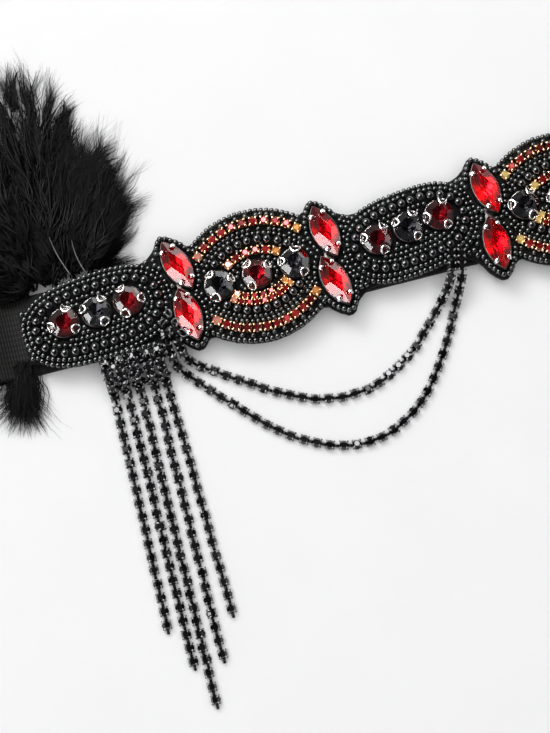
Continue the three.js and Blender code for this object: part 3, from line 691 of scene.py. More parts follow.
def strip_edges(margin):
    """Upper and lower edge of the strip: tight notches at the medallions, wide ones elsewhere."""
    lobes = [lobe.place(oval_outline(*grown_field(lobe, margin), 400)) for lobe in LOBES.values()]
    pairs = [navette.outline(PAIR_BORDER + margin, 240) for navette in NAVETTES.values()]
    radius = LENS_R + margin
    lens = lens_outline(math.sqrt(radius**2 - LENS_DROP**2), radius - LENS_DROP, 400)
    medallions = [medallion.place(lens) for medallion in MEDALLIONS.values()]
    low = min(outline[:, 0].min() for outline in lobes)
    high = max(outline[:, 0].max() for outline in lobes)
    share = np.linspace(0, 1, 700)
    ease = 0.5 - 0.5 * np.cos(math.pi * share)
    along = low + 0.001 + (high - low - 0.002) * (0.82 * share + 0.18 * ease)
    edges = []
    for group, ball in ((lobes + pairs + medallions, 1.8), (lobes + pairs, 7.0)):
        upper, lower = envelope(group, along)
        edges.append((close_notches(along, upper, ball), -close_notches(along, -lower, ball)))
    return along, np.maximum(edges[0][0], edges[1][0]), np.minimum(edges[0][1], edges[1][1])


def make_felt():
    rng = np.random.default_rng(11)
    rows = 7
    along, upper, lower = strip_edges(FELT_MARGIN)
    header = np.abs(along - HEADER[0]) < HEADER_HALF + 0.5
    lower = np.where(header, np.minimum(lower, HEADER[1] - HEADER_DEPTH / 2 - 0.5), lower)
    upper = upper + rng.normal(0, 0.05, len(along))
    lower = lower + rng.normal(0, 0.05, len(along))
    slot = np.abs(along - PLUME_ROOT[0]) < SLOT_HALF
    base = np.where(slot, FELT_Z + SLOT_DEPTH, FELT_Z)
    edge = 0.35
    share = np.concatenate([[0], np.linspace(0.02, 0.98, rows), [1]])
    top, bottom = [], []
    for x, y1, y0, z in zip(along, upper, lower, base):
        across = y0 + (y1 - y0) * share
        inner = np.clip(across, y0 + edge, y1 - edge)
        across[1:-1] = inner[1:-1]
        rise = np.full(len(across), FELT_TOP)
        rise[[0, -1]] = FELT_TOP - 0.4
        sink = np.full(len(across), z)
        sink[[0, -1]] = z + 0.3
        top.append(np.column_stack([np.full(len(across), x), across, rise]))
        bottom.append(np.column_stack([np.full(len(across), x), across, sink]))
    wide = len(share)
    points = np.concatenate([*top, *bottom])
    under = len(along) * wide
    faces = grid_faces(len(along), wide) + grid_faces(len(along), wide, start=under, flip=True)
    for k in range(len(along) - 1):
        a, b = k * wide, (k + 1) * wide
        faces.append((a, under + a, under + b, b))
        faces.append((a + wide - 1, b + wide - 1, under + b + wide - 1, under + a + wide - 1))
    last = (len(along) - 1) * wide
    for i in range(wide - 1):
        faces.append((i, i + 1, under + i + 1, under + i))
        faces.append((last + i, under + last + i, under + last + i + 1, last + i + 1))
    form = Form().add(points, faces)
    felt = make_piece(form, "felt_strip", "felt", [FELT], ["felt_backing"])
    area = float(np.sum((upper - lower)[1:] * np.diff(along)))
    return felt


# Beads


def seed_form(look=0):
    """A short glass bead with round shoulders, its hole along X."""
    rows = [
        (0.27, -0.50), (0.50, -0.56), (0.68, -0.38), (0.725, 0.0), (0.68, 0.38), (0.50, 0.56), (0.27, 0.50)]
    points, faces = lathe([(r * SEED_D / 1.45, h * SEED_D / 1.45) for r, h in rows], 10, closed=True)
    points = np.array(points)[:, [2, 0, 1]]
    return Form().add(points, faces, look)


def ball_form(diameter, sides=18, rings=10, look=0):
    rows = [
        (diameter / 2 * math.sin(a), -diameter / 2 * math.cos(a))
        for a in np.linspace(0, math.pi, rings + 1)
    ]
    rows[0] = (0, -diameter / 2)
    rows[-1] = (0, diameter / 2)
    return Form().add(*lathe(rows, sides), look)


class Seeds:
    """Seed beads already placed, and what they have to keep clear of."""

    def __init__(self):
        self.discs = []
        self.placed = np.zeros((0, 2))

    def block(self, centres, radius):
        self.discs.extend((float(x), float(y), radius) for x, y in np.atleast_2d(centres)[:, :2])

    def free(self, point, space):
        if len(self.placed) and np.min(np.hypot(*(self.placed - point).T)) < space:
            return False
        for x, y, radius in self.discs:
            if (point[0] - x) ** 2 + (point[1] - y) ** 2 < (radius + SEED_D / 2) ** 2:
                return False
        for navette in NAVETTES.values():
            if navette.holds(point, 0.2 + SEED_D / 2)[0]:
                return False
        return True

    def take(self, point):
        self.placed = np.vstack([self.placed, point])


SEED_FIELD = Seeds()
SEED_HEIGHT = BED_TOP + SEED_D / 2
FELT_EDGES = strip_edges(0)


def on_felt(points, inset):
    along, upper, lower = FELT_EDGES
    x, y = points[:, 0], points[:, 1]
    top = np.interp(x, along, upper) - inset
    bottom = np.interp(x, along, lower) + inset
    header = (np.abs(x - HEADER[0]) < HEADER_HALF + 0.8) & (y < HEADER[1] + HEADER_DEPTH / 2 + 0.6)
    return (y < top) & (y > bottom) & ~header


def seed_rows(rows, rng):
    """Seeds along rows of points; each row is a path, its height and whether it closes."""
    found = []
    for path, height, closed in rows:
        points, direction = spaced(path, SEED_PITCH, closed=closed)
        for point, along in zip(points, direction):
            point = point + rng.normal(0, 0.04, 2)
            if SEED_FIELD.free(point, SEED_D * 0.78):
                SEED_FIELD.take(point)
                found.append((point, height + rng.normal(0, 0.05), along))
    return found


def seed_fill(inside, low, high, rng, darts=9000):
    """Seeds in the gaps that the rows leave."""
    found = []
    for point in rng.uniform(low, high, (darts, 2)):
        if inside(point[None])[0] and SEED_FIELD.free(point, SEED_D * 0.84):
            SEED_FIELD.take(point)
            angle = rng.uniform(0, math.pi)
            height = SEED_HEIGHT + rng.normal(0, 0.08)
            found.append((point, height, np.array([math.cos(angle), math.sin(angle)])))
    return found


def make_seeds(name, found, rng):
    turns, origins = [], []
    for point, height, along in found:
        angle = math.atan2(along[1], along[0]) + rng.normal(0, 0.15)
        tip = rng.normal(0, 0.12)
        turns.append(axes((math.cos(angle), math.sin(angle), tip)))
        origins.append((point[0], point[1], height))
    form = Form().stamp(seed_form(), turns, origins, rng.random(len(found)))
    return make_piece(form, f"seeds_{name}", "seed_beads", [SEEDS])


def pearl_places(path, closed, count=None):
    points, _ = spaced(path, PEARL_PITCH, count, closed)
    return points


def make_pearl_ring(lobe):
    rng = np.random.default_rng(20 + ord(lobe.name[-1]))
    points = pearl_places(lobe.place(oval_outline(*lobe.ring, 400)), True)
    SEED_FIELD.block(points, PEARL_D / 2 - 0.18)
    origins = np.column_stack([
        points + rng.normal(0, 0.08, points.shape), PEARL_Z + rng.normal(0, 0.06, len(points))])
    turns = [turn_z(rng.uniform(0, 360)) for _ in points]
    form = Form().stamp(ball_form(PEARL_D), turns, origins, rng.random(len(points)))
    return make_piece(form, f"pearls_{lobe.name}", "pearls", [PEARLS], [f"pearl_ring_{lobe.name}"])


def row_height(offset):
    """The outermost row sinks over the bed's edge; the others stand on the bed."""
    return SEED_HEIGHT - (0.45 if offset > 0 else 0)


def make_lobe_seeds(lobe):
    rng = np.random.default_rng(40 + ord(lobe.name[-1]))
    for stone in lobe.stones.values():
        SEED_FIELD.block(stone, SETTING_R + 0.05)
    rows = []
    for offset in LOBE_SEED_ROWS:
        outline = oval_outline(*grown_field(lobe, offset), 400)
        rows.append((lobe.place(outline), row_height(offset), True))
    found = seed_rows(rows, rng)
    inside = lambda p: in_oval(lobe.local(p), *grown_field(lobe, 2.5)) & on_felt(p, 0.4)
    found += seed_fill(inside, lobe.middle - 20, lobe.middle + 20, rng)
    return make_seeds(lobe.name, found, rng)


def make_medallion_seeds(medallion):
    rng = np.random.default_rng(60 + ord(medallion.name[-1]))
    for stone in medallion.stones.values():
        SEED_FIELD.block(stone, SETTING_R + 0.05)
    rows = []
    for offset in MEDALLION_SEED_ROWS:
        radius = LENS_R + offset
        outline = lens_outline(math.sqrt(radius**2 - LENS_DROP**2), radius - LENS_DROP, 400)
        rows.append((medallion.place(outline), row_height(offset), True))
    navettes = [
        NAVETTES[f"{pair}_{side}"] for pair in PAIRS_OF[medallion.name] for side in ("upper", "lower")]
    borders = [
        (navette.outline(PAIR_BORDER - 0.4, 300), SEED_HEIGHT - 0.1, True) for navette in navettes]
    found = seed_rows(borders + rows, rng)

    def inside(p):
        local = medallion.local(p)
        half = math.sqrt((LENS_R - 0.2) ** 2 - LENS_DROP**2)
        width = lens_half_width(np.clip(local[:, 0], -half, half), half, LENS_R - 0.2 - LENS_DROP)
        lens = (np.abs(local[:, 0]) < half) & (np.abs(local[:, 1]) < width)
        near = np.any([navette.holds(p, PAIR_BORDER + 2.5) for navette in navettes], axis=0)
        in_lobe = np.any([in_oval(lobe.local(p), *grown_field(lobe, 0.3)) for lobe in LOBES.values()], axis=0)
        return (lens | near) & on_felt(p, 0.4) & ~in_lobe

    found += seed_fill(inside, medallion.middle - (28, 20), medallion.middle + (28, 20), rng, 14000)
    return make_seeds(medallion.name, found, rng)


# Cups, claws and stones


def cup_stone_form(diameter, prong_look=0, cup_look=0, stone_look=1, prong_width=0.17):
    """A small faceted stone in a four-claw cup, its middle at the origin."""
    r = diameter / 2
    form = Form()
    turn8 = math.pi / 8
    cup = [(0, -r), (r * 0.74, -r), (r * 0.9, -r * 0.5), (r * 0.9, r * 0.1), (0, r * 0.1)]
    form.add(*lathe(cup, 8), cup_look)
    angles = [turn8 + i * FULL_TURN / 8 for i in range(8)]
    ring = lambda radius, z: [(radius * math.cos(a), radius * math.sin(a), z) for a in angles]
    girdle = ring(r * 0.9, r * 0.14)
    table = ring(r * 0.5, r * 0.72)
    points = girdle + table
    faces = [tuple(range(8, 16)), tuple(reversed(range(8)))]
    faces += [(i, (i + 1) % 8, 8 + (i + 1) % 8, 8 + i) for i in range(8)]
    form.add(points, faces, stone_look, True)
    for k in range(4):
        a = math.pi / 4 + k * math.pi / 2
        out = np.array([math.cos(a), math.sin(a), 0])
        path = [
            out * r * 1.02 + (0, 0, -r * 0.5), out * r * 1.04 + (0, 0, r * 0.2),
            out * r * 0.88 + (0, 0, r * 0.62), out * r * 0.62 + (0, 0, r * 0.74)]
        width = prong_width * diameter
        prong = sweep(path, width, width * 0.8, (out[1], -out[0], 0.2), 5, taper=[0.8, 1.0, 1.15, 0.75])
        form.add(*prong, prong_look)
    return form


def ring_points(outline, share, angle_steps, shift, z):
    return [(*outline(share, shift + i * FULL_TURN / angle_steps), z) for i in range(angle_steps)]


# Where each ring of a cut stone's points starts, and how many faces its table and crown have
TABLE, GIRDLE, LOWER, PAVILION, CULET = 0, 8, 24, 40, 48
CROWN_FACES = 17


def cut_stone(outline, rng):
    """Table, crown and girdle of glass over a foiled pavilion; outline(share, angle) is the stone's plan."""
    eighth = FULL_TURN / 8
    table = ring_points(outline, TABLE_SHARE, 8, 0, TABLE_Z)
    girdle = ring_points(outline, 1, 16, 0, GIRDLE_TOP_Z)
    girdle = [(x, y, z - (0.12 if i % 2 else 0)) for i, (x, y, z) in enumerate(girdle)]
    lower = ring_points(outline, 1, 16, 0, GIRDLE_Z)
    drop = GIRDLE_Z - CULET_Z
    bowl_z = CULET_Z + drop * BOWL_SHARE * math.cos(eighth / 2)
    bowl = ring_points(outline, BOWL_SHARE, 8, eighth / 2, bowl_z)
    points = [*table, *girdle, *lower, *bowl, (*outline(0, 0), CULET_Z)]
    glass = [tuple(range(8))]
    foil = []
    for i in range(8):
        j = (i + 1) % 8
        near, middle, far = 2 * i, 2 * i + 1, (2 * i + 2) % 16
        glass.append((TABLE + i, GIRDLE + near, GIRDLE + far, TABLE + j))
        glass.append((GIRDLE + near, GIRDLE + middle, GIRDLE + far))
        foil.append((CULET, PAVILION + i, LOWER + near, PAVILION + (i - 1) % 8))
        foil.append((PAVILION + i, LOWER + middle, LOWER + near))
        foil.append((PAVILION + i, LOWER + far, LOWER + middle))
    for i in range(16):
        j = (i + 1) % 16
        glass.append((LOWER + i, LOWER + j, GIRDLE + j, GIRDLE + i))
    form = Form().add(points, glass, 0, True)
    form.faces += foil
    form.looks += [1] * len(foil)
    form.flat += [True] * len(foil)
    form.tones = [rng.random(len(points))]
    return form


def moved(form, turn, origin):
    form.points = [np.concatenate(form.points) @ np.asarray(turn).T + np.asarray(origin)]
    return form


# Where round stones turn one crown facet to the low light, in the photograph
PALE_FACET = 222
LOOP_TURNS = {
    "l1_left": (-50, 190, 70), "l1_middle": (55, 160, -58), "l1_right": (-120, -5, 115),
    "m1_left": (10, -120, 118), "m1_middle": (-125, 25, 128), "m1_right": (166, -65, 70),
    "l2_left": (48, 165, -75), "l2_middle": (150, -62, 62), "l2_right": (-66, 60, 180),
}
USUAL_LOOPS = (52, 172, 292)


def wire_loop(turn, half_width=1.25, wire=0.52):
    """A silver wire loop that hugs the edge of a round stone, from the cup's side over its crown."""
    low, knee, tip = np.array([4.45, 8.3]), np.array([4.65, 10.2]), np.array([2.75, 10.5])
    path = []
    for t in np.linspace(0, FULL_TURN, 18, endpoint=False):
        s = (1 - math.cos(t)) / 2
        r, z = (1 - s) ** 2 * low + 2 * s * (1 - s) * knee + s**2 * tip
        path.append((r, half_width * math.sin(t), z))
    path = np.array(path) @ turn_z(turn).T
    out = turn_z(turn) @ np.array([0.75, 0, 0.66])
    return sweep(path, wire, wire, out, 7, closed=True)


# Radius and height of a round setting's wall, from its base up the outside and down the inside
ROUND_CUP = [
    (0, BED_Z), (3.7, BED_Z), (4.12, 6.3), (4.15, 8.5), (4.05, 8.75), (3.9, 8.75), (3.86, 8.5), (3.86, 6.25),
    (0, 6.25),
]


def make_round_stones():
    looks = {
        "darkred": ("dark_red_stone", [WINE_GLASS, WINE_FOIL]),
        "spark": ("dark_red_stone", [WINE_GLASS, SPARK_FOIL]),
        "black": ("black_stone", [JET_GLASS, JET_FOIL]),
    }
    for module in [*LOBES.values(), *MEDALLIONS.values()]:
        for k, side in enumerate(("left", "middle", "right")):
            name = f"{module.name}_{side}"
            rng = np.random.default_rng(100 + sum(map(ord, name)))
            red = (k != 1) if module.name in LOBES else (k == 1)
            slot, materials = looks["black" if not red else "darkred" if module.name in LOBES else "spark"]
            x, y = module.stones[side]
            shift = math.radians(PALE_FACET - BAND_TILT + 22.5 + rng.uniform(-4, 4))
            plan = lambda share, a: (
                STONE_R * share * math.cos(a + shift), STONE_R * share * math.sin(a + shift))
            gem = cut_stone(plan, rng)
            make_piece(moved(gem, np.eye(3), (x, y, 0)), f"gem_{name}", slot, materials, [f"stone_{name}"])
            # The cup takes the darker copy of the silver as painted shade; the wire loops stay silver.
            cup = Form().add(*lathe(ROUND_CUP, 32), 1)
            for turn in LOOP_TURNS.get(name, USUAL_LOOPS):
                cup.add(*wire_loop(turn + rng.normal(0, 4), 1.2 + rng.normal(0, 0.08)), 0)
            make_piece(
                moved(cup, np.eye(3), (x, y, 0)), f"claws_{name}", "silver_setting", [SILVER, SHADED_SILVER_CUP],
                [f"setting_{name}"])


def lens_plan(half_length, half_width):
    """Plan of a pointed stone: the share shrinks both half sizes, and the angle goes round it."""
    def plan(share, angle):
        if share < 1e-9:
            return 0.0, 0.0
        length, width = half_length * share, half_width * share
        along = length * math.cos(angle)
        side = math.sin(angle)
        sign = 0 if abs(side) < 1e-6 else math.copysign(1, side)
        return along, sign * float(lens_half_width(along, length, width))
    return plan


def cut_navette(rng):
    """A pointed stone: a cut stone whose crown is a diamond table and one long flat facet on each quarter."""
    plan = lens_plan(MARQUISE_LENGTH / 2 - 0.35, MARQUISE_WIDTH / 2 - 0.1)
    tip, middle = plan(1, 0)[0] * 0.56, plan(1, math.pi / 2)[1] * 0.5
    table = [(tip, 0, TABLE_Z), (0, middle, TABLE_Z), (-tip, 0, TABLE_Z), (0, -middle, TABLE_Z)]
    stone = cut_stone(plan, rng)
    points = stone.points[0]
    edge = math.hypot(tip, middle)
    for i in range(16):
        x, y = np.abs(points[GIRDLE + i, :2])
        out = ((x - tip) * middle + y * tip) / edge
        points[GIRDLE + i, 2] = TABLE_Z - 0.8 * out
        points[LOWER + i, 2] = min(GIRDLE_Z, points[GIRDLE + i, 2] - 0.06)
    points[:4] = table
    facets = [(0, 1, 2, 3)]
    for k in range(4):
        facets.append((k, *[GIRDLE + (4 * k + i) % 16 for i in range(5)], (k + 1) % 4))
    faces = facets + stone.faces[CROWN_FACES:]
    looks = [0] * len(facets) + stone.looks[CROWN_FACES:]
    stone.points = [np.delete(points, slice(4, 8), 0)]
    stone.tones = [np.delete(stone.tones[0], slice(4, 8))]
    stone.faces = [tuple(i - 4 if i > 7 else i for i in face) for face in faces]
    stone.looks = looks
    stone.flat = [True] * len(faces)
    return stone


def navette_cup():
    """A pointed cup with four claws, its length along X."""
    half_length, half_width = MARQUISE_LENGTH / 2, MARQUISE_WIDTH / 2
    form = Form()
    count = 40
    rows = [(0.86, BED_Z), (1.0, 6.4), (1.01, 8.5), (0.98, 8.78), (0.93, 8.78), (0.91, 8.5), (0.91, 6.3)]
    points = []
    for share, z in rows:
        plan = lens_plan(half_length * (0.3 * share + 0.7), half_width * share)
        points += [(*plan(1, i * FULL_TURN / count), z) for i in range(count)]
    faces = grid_faces(len(rows), count, loop_columns=True, flip=True)
    faces.append(tuple(reversed(range(count))))
    faces.append(tuple(range((len(rows) - 1) * count, len(rows) * count)))
    form.add(points, faces, 1)
    for end in (-1, 1):
        for side in (-1, 1):
            x = end * half_length * 0.66
            y = side * float(lens_half_width(x, half_length, half_width))
            inward = np.array([-end * 0.35, -side * 0.94, 0])
            at = np.array([x, y, 0]) - inward * 0.1
            reach = [(0, 6.6), (0, 8.6), (0.15, 9.4), (0.6, 9.95), (1.15, 10.15)]
            path = [at + inward * r + (0, 0, z) for r, z in reach]
            form.add(*sweep(path, 1.35, 0.6, -inward, 8, taper=[0.8, 1, 1.05, 1, 0.6]), 0)
    return form


def make_navettes():
    for pairs in PAIRS_OF.values():
        for pair in pairs:
            cups = Form()
            places = [NAVETTES[f"{pair}_{side}"] for side in ("upper", "lower")]
            for navette in places:
                rng = np.random.default_rng(200 + sum(map(ord, navette.name)))
                gem = cut_navette(rng)
                origin = (*navette.middle, 0)
                make_piece(
                    moved(gem, navette.turn, origin), f"navette_{navette.name}", "red_stone",
                    [RED_GLASS, RED_FOIL], [navette.node])
                cups.stamp(navette_cup(), [navette.turn], [origin], [0.5])
            ends = [(*navette.middle, BED_Z + 0.3) for navette in places]
            cups.add(*sweep(ends, 3.4, 0.5, (0, 0, 1), 8), 1)
            # The navette cups and the bar between them take the darker copy of the silver as painted shade.
            make_piece(
                cups, f"navette_cups_{pair}", "silver_setting", [SILVER, SHADED_SILVER_CUP],
                [f"marquise_setting_{pair}"])


# Tones of the first and last stone of each row: pale pink, amber or gold
END_TONES = {"m1": (0.84, 0.91), "m2": (1.0, 0.91)}


def make_crystal_rows(medallion, side):
    """Arched rows of small stones and pearls; the lower ones are turned round."""
    rng = np.random.default_rng(300 + sum(map(ord, medallion.name + side)))
    flip = 1 if side == "upper" else -1
    form = Form()
    rows = [(14.5, 0.74, 11 if side == "upper" else 12, RHINESTONE_D)]
    if side == "upper":
        rows.append((6.5, 0.56, 6, RHINESTONE_D))
    else:
        rows += [(5.75, 0.60, 7, SMALL_RHINESTONE_D), (7.5, 0.62, 9, SMALL_RHINESTONE_D)]
    for y, span, count, diameter in rows:
        points, direction = spaced(arc_row(y, span), count=count)
        points = medallion.place(points * (1, flip))
        turn = medallion.turn[:2, :2]
        tones = rng.uniform(0.0, 0.62, count)
        tones[[0, -1]] = END_TONES[medallion.name]
        turns = []
        for along in direction:
            a = turn @ (along * (1, flip))
            slope = rng.normal(0, 0.05)
            turns.append(axes((a[0], a[1], slope), (rng.normal(0, 0.08), rng.normal(0, 0.08), 1)))
        origins = np.column_stack([points, CRYSTAL_Z + rng.normal(0, 0.06, count)])
        form.stamp(cup_stone_form(diameter, 0, 0, 1, 0.25), turns, origins, tones)
        SEED_FIELD.block(points, diameter / 2 - 0.1)
    pearl_row = pearl_places(medallion.place(arc_row(9.55, 0.70) * (1, flip)), False, 9)
    SEED_FIELD.block(pearl_row, PEARL_D / 2 - 0.35)
    count = len(pearl_row)
    origins = np.column_stack([pearl_row + rng.normal(0, 0.06, (count, 2)), np.full(count, PEARL_Z + 0.05)])
    form.stamp(ball_form(PEARL_D, look=2), [np.eye(3)] * count, origins, rng.random(count))
    return make_piece(
        form, f"crystal_rows_{medallion.name}_{side}", "rhinestone_trim", [ROSE_GOLD, FIRE_STONES, PEARLS],
        [f"bead_rows_{medallion.name}_{side}"])


# Chains


def link_form():
    """One link of cup chain: a black stone in a gunmetal cup, and the bar to the next, along X."""
    form = cup_stone_form(CHAIN_LINK_D, 2, 0, 1, 0.21)
    reach = CHAIN_LINK_D * 0.36
    bar = [(reach, 0, -0.35), (CHAIN_PITCH / 2, 0, -0.2), (CHAIN_PITCH - reach, 0, -0.35)]
    form.add(*sweep(bar, 0.8, 0.6, (0, 0, 1), 8), 0)
    return form


def chain(form, path, rng, roll=0.25):
    points, direction = spaced(path, CHAIN_PITCH)
    turns = []
    for along in direction:
        side = np.cross((0, 0, 1), along)
        up = np.array([0, 0, 1.0]) + side * rng.normal(0, roll)
        turns.append(axes(along, up))
    jitter = np.column_stack([rng.normal(0, 0.08, (len(points), 2)), np.zeros(len(points))])
    form.stamp(link_form(), turns, points + jitter, rng.random(len(points)))


def strand_path(top, end, share):
    edge = HEADER[1] - HEADER_DEPTH / 2 - 0.5 - 0.3
    tip = edge - FRINGE_LENGTH * share
    high = BED_Z + CHAIN_D / 2
    x = lambda s: HEADER[0] + top + (end - top) * s
    return smooth_path([
        (x(0), HEADER[1], high), (x(0), edge - CHAIN_D / 2, high + CHAIN_D / 4),
        (x(0.05), edge - 4.5, (high + CHAIN_LOW_Z) / 2),
        (x(0.1), edge - 9, CHAIN_LOW_Z), (x(0.5), (edge + tip) / 2, CHAIN_LOW_Z), (x(1), tip, CHAIN_LOW_Z)])


# Looks of a link: gunmetal cup and bar, black stone, and claws in a lighter grey as painted sheen.
CHAIN_LOOKS = [GUNMETAL, BLACK_STONES, CLAW_SHEEN]
# Wire rings where the swags start: x, y, z, diameter, turn in degrees and lean in radians
START_RINGS = [
    (-68.6, -4.4, 8.9, 2.2, 20, 0.9), (-67.2, -7.0, 9.0, 2.0, 75, 1.0), (-70.8, -6.4, 8.9, 1.9, 130, 1.1),
    (-66.2, -10.6, 8.9, 2.3, 40, 0.8), (-69.8, -9.2, 9.1, 1.9, 0, 1.1),
]


def make_chains():
    rng = np.random.default_rng(400)
    fringe = Form()
    for strand in STRANDS:
        chain(fringe, strand_path(*strand), rng, 0.15)
    profile = strand_path(*STRANDS[2])
    turns, origins = [], []
    for row in range(4):
        y = HEADER[1] + 0.3 - 2.45 * row
        z = np.interp(-y, -profile[:, 1], profile[:, 2])
        for column in range(8):
            x = HEADER[0] + (column - 3.5) * 2.2 + rng.normal(0, 0.2)
            along = turn_z(rng.uniform(0, 90)) @ (1, 0, 0)
            turns.append(axes(along, (rng.normal(0, 0.2), rng.normal(-0.15, 0.2), 1)))
            origins.append((x, y + rng.normal(0, 0.25), z + rng.uniform(-0.2, 0.5)))
    fringe.stamp(cup_stone_form(2.3, 4, 0, 1, 0.2), turns, origins, rng.random(len(origins)))
    edge = [
        (HEADER[0] + x, HEADER[1] + 1.5 + rng.normal(0, 0.1), BED_Z + 2.2) for x in np.arange(-8.2, 8.3, 1.5)]
    turns = [axes((rng.normal(), rng.normal(), 0.3)) for _ in edge]
    fringe.stamp(seed_form(3), turns, edge, rng.uniform(0.6, 1, len(edge)))
    base = [(HEADER[0] + end * HEADER_HALF, HEADER[1], BED_Z + 0.6) for end in (-1, 1)]
    fringe.add(*sweep(base, 2.6, 1.0, (0, 0, 1), 10), 0)
    looks = [*CHAIN_LOOKS, SEEDS, DULL_CLAWS]
    make_piece(fringe, "chain_fringe", "gunmetal_chain", looks, ["crystal_fringe"])
    for name, points in (("inner", SWAG_INNER), ("outer", SWAG_OUTER)):
        swag = Form()
        chain(swag, smooth_path(points), rng, 0.18)
        make_piece(swag, f"chain_swag_{name}", "gunmetal_chain", CHAIN_LOOKS, [f"swag_{name}"])
    rings = Form()
    for x, y, z, size, turn, lean in START_RINGS:
        angles = np.linspace(0, FULL_TURN, 20)[:-1]
        circle = [(size / 2 * math.cos(a), size / 2 * math.sin(a), 0) for a in angles]
        tilt = axes((math.cos(lean), 0, math.sin(lean)))
        points = np.array(circle) @ tilt.T @ turn_z(turn).T + (x, y, z)
        up = turn_z(turn) @ tilt @ np.array([0, 0, 1.0])
        rings.add(*sweep(points, 0.36, 0.36, up, 7, closed=True), 0)
    make_piece(rings, "chain_start_rings", "gunmetal_chain", [DULL_CLAWS])


# Plume


def reach_at(turn):
    turns, reach = zip(*PLUME_REACH)
    return np.interp(turn, turns, reach)


def barbs(rng, starts, directions, lengths, bends, drops, widths, segments=5):
    """Many soft barbs at once: each starts along its direction, bends sideways and sinks or lifts."""
    t = np.linspace(0, 1, segments + 1)
    side = np.column_stack([-directions[:, 1], directions[:, 0], np.zeros(len(starts))])
    wave = rng.normal(0, 0.06, (len(starts), 2))
    sideways = bends[:, None] * t**2 + wave[:, :1] * np.sin(5 * t)
    path = (
        starts[:, None]
        + directions[:, None] * (lengths[:, None] * t)[:, :, None]
        + side[:, None] * (lengths[:, None] * sideways)[:, :, None]
    )
    path[:, :, 2] += (lengths[:, None] * (drops[:, None] * t**1.6 + wave[:, 1:] * 0.5 * np.sin(4 * t)))
    path[:, :, 2] = np.clip(path[:, :, 2], widths[:, None] / 2 + 0.1, PLUME_TOP)
    tangent = np.gradient(path, axis=1)
    tangent /= np.linalg.norm(tangent, axis=2)[:, :, None]
    across = np.cross(tangent, (0.1, 0.05, 1.0))
    across /= np.linalg.norm(across, axis=2)[:, :, None]
    top = np.cross(across, tangent)
    taper = (1 - 0.85 * t**1.5)[None, :, None]
    half = widths[:, None, None] / 2 * taper
    corners = [
        across * half, top * half * 0.8 - across * half * 0.5, -top * half * 0.8 - across * half * 0.5]
    points = np.stack([path + c for c in corners], axis=2)
    count, rings = len(starts), segments + 1
    index = np.arange(count * rings * 3).reshape(count, rings, 3)
    faces = []
    for i in range(3):
        j = (i + 1) % 3
        quads = np.stack([index[:, :-1, i], index[:, :-1, j], index[:, 1:, j], index[:, 1:, i]], axis=-1)
        faces.append(quads.reshape(-1, 4))
    quads = np.concatenate(faces).tolist()
    caps = np.concatenate([index[:, 0, ::-1], index[:, -1]]).tolist()
    return points.reshape(-1, 3), [tuple(f) for f in quads] + [tuple(f) for f in caps]


class Spines:
    """Bent shafts that fan out from a line behind the first lobe; barbs grow from them in locks."""

    def __init__(self, count, rng):
        low, high = PLUME_REACH[0][0], PLUME_REACH[-1][0]
        self.turn = np.linspace(low, high, count) + rng.normal(0, 1.5, count)
        self.reach = reach_at(self.turn) * PLUME_LENGTH * rng.uniform(0.76, 0.90, count)
        self.bow = rng.normal(0, 3.5, count)
        self.rise = rng.uniform(2.2, 8.0, count)

    def at(self, which, share):
        """Point of a shaft at a share of its length, and its direction there."""
        turn, reach = self.turn[which], self.reach[which]
        begin = np.radians(turn * 0.62 - PLUME_LEAN - self.bow[which])
        end = np.radians(turn - PLUME_LEAN + self.bow[which] * 0.5)
        swing = begin * (1 - share) + end * share
        ahead = begin * (1 - share) + end * share + (end - begin) * share
        foot_x = PLUME_FOOT * np.clip((turn - 20) / 96, -1, 1)
        foot_y = PLUME_FOOT_LINE[0] + PLUME_FOOT_LINE[1] * foot_x - PLUME_ROOT[1]
        x = PLUME_ROOT[0] + foot_x * (1 - share) + np.sin(swing) * reach * share
        y = PLUME_ROOT[1] + foot_y * (1 - share) + np.cos(swing) * reach * share
        z = 3.4 * (1 - share) + self.rise[which] * np.sin(math.pi * np.clip(0.15 + 0.75 * share, 0, 1))
        return np.column_stack([x, y, z]), ahead


def keep_inside(starts, directions, lengths, limit):
    """Shortens barbs whose tips pass the plume's outline."""
    for _ in range(3):
        tips = starts[:, :2] + directions[:, :2] * lengths[:, None] - PLUME_ROOT
        turn = np.degrees(np.arctan2(tips[:, 0], tips[:, 1])) + PLUME_LEAN
        over = np.hypot(*tips.T) - limit * reach_at(turn) * PLUME_LENGTH
        lengths = np.clip(lengths - np.maximum(over, 0), 1.2, None)
    return lengths


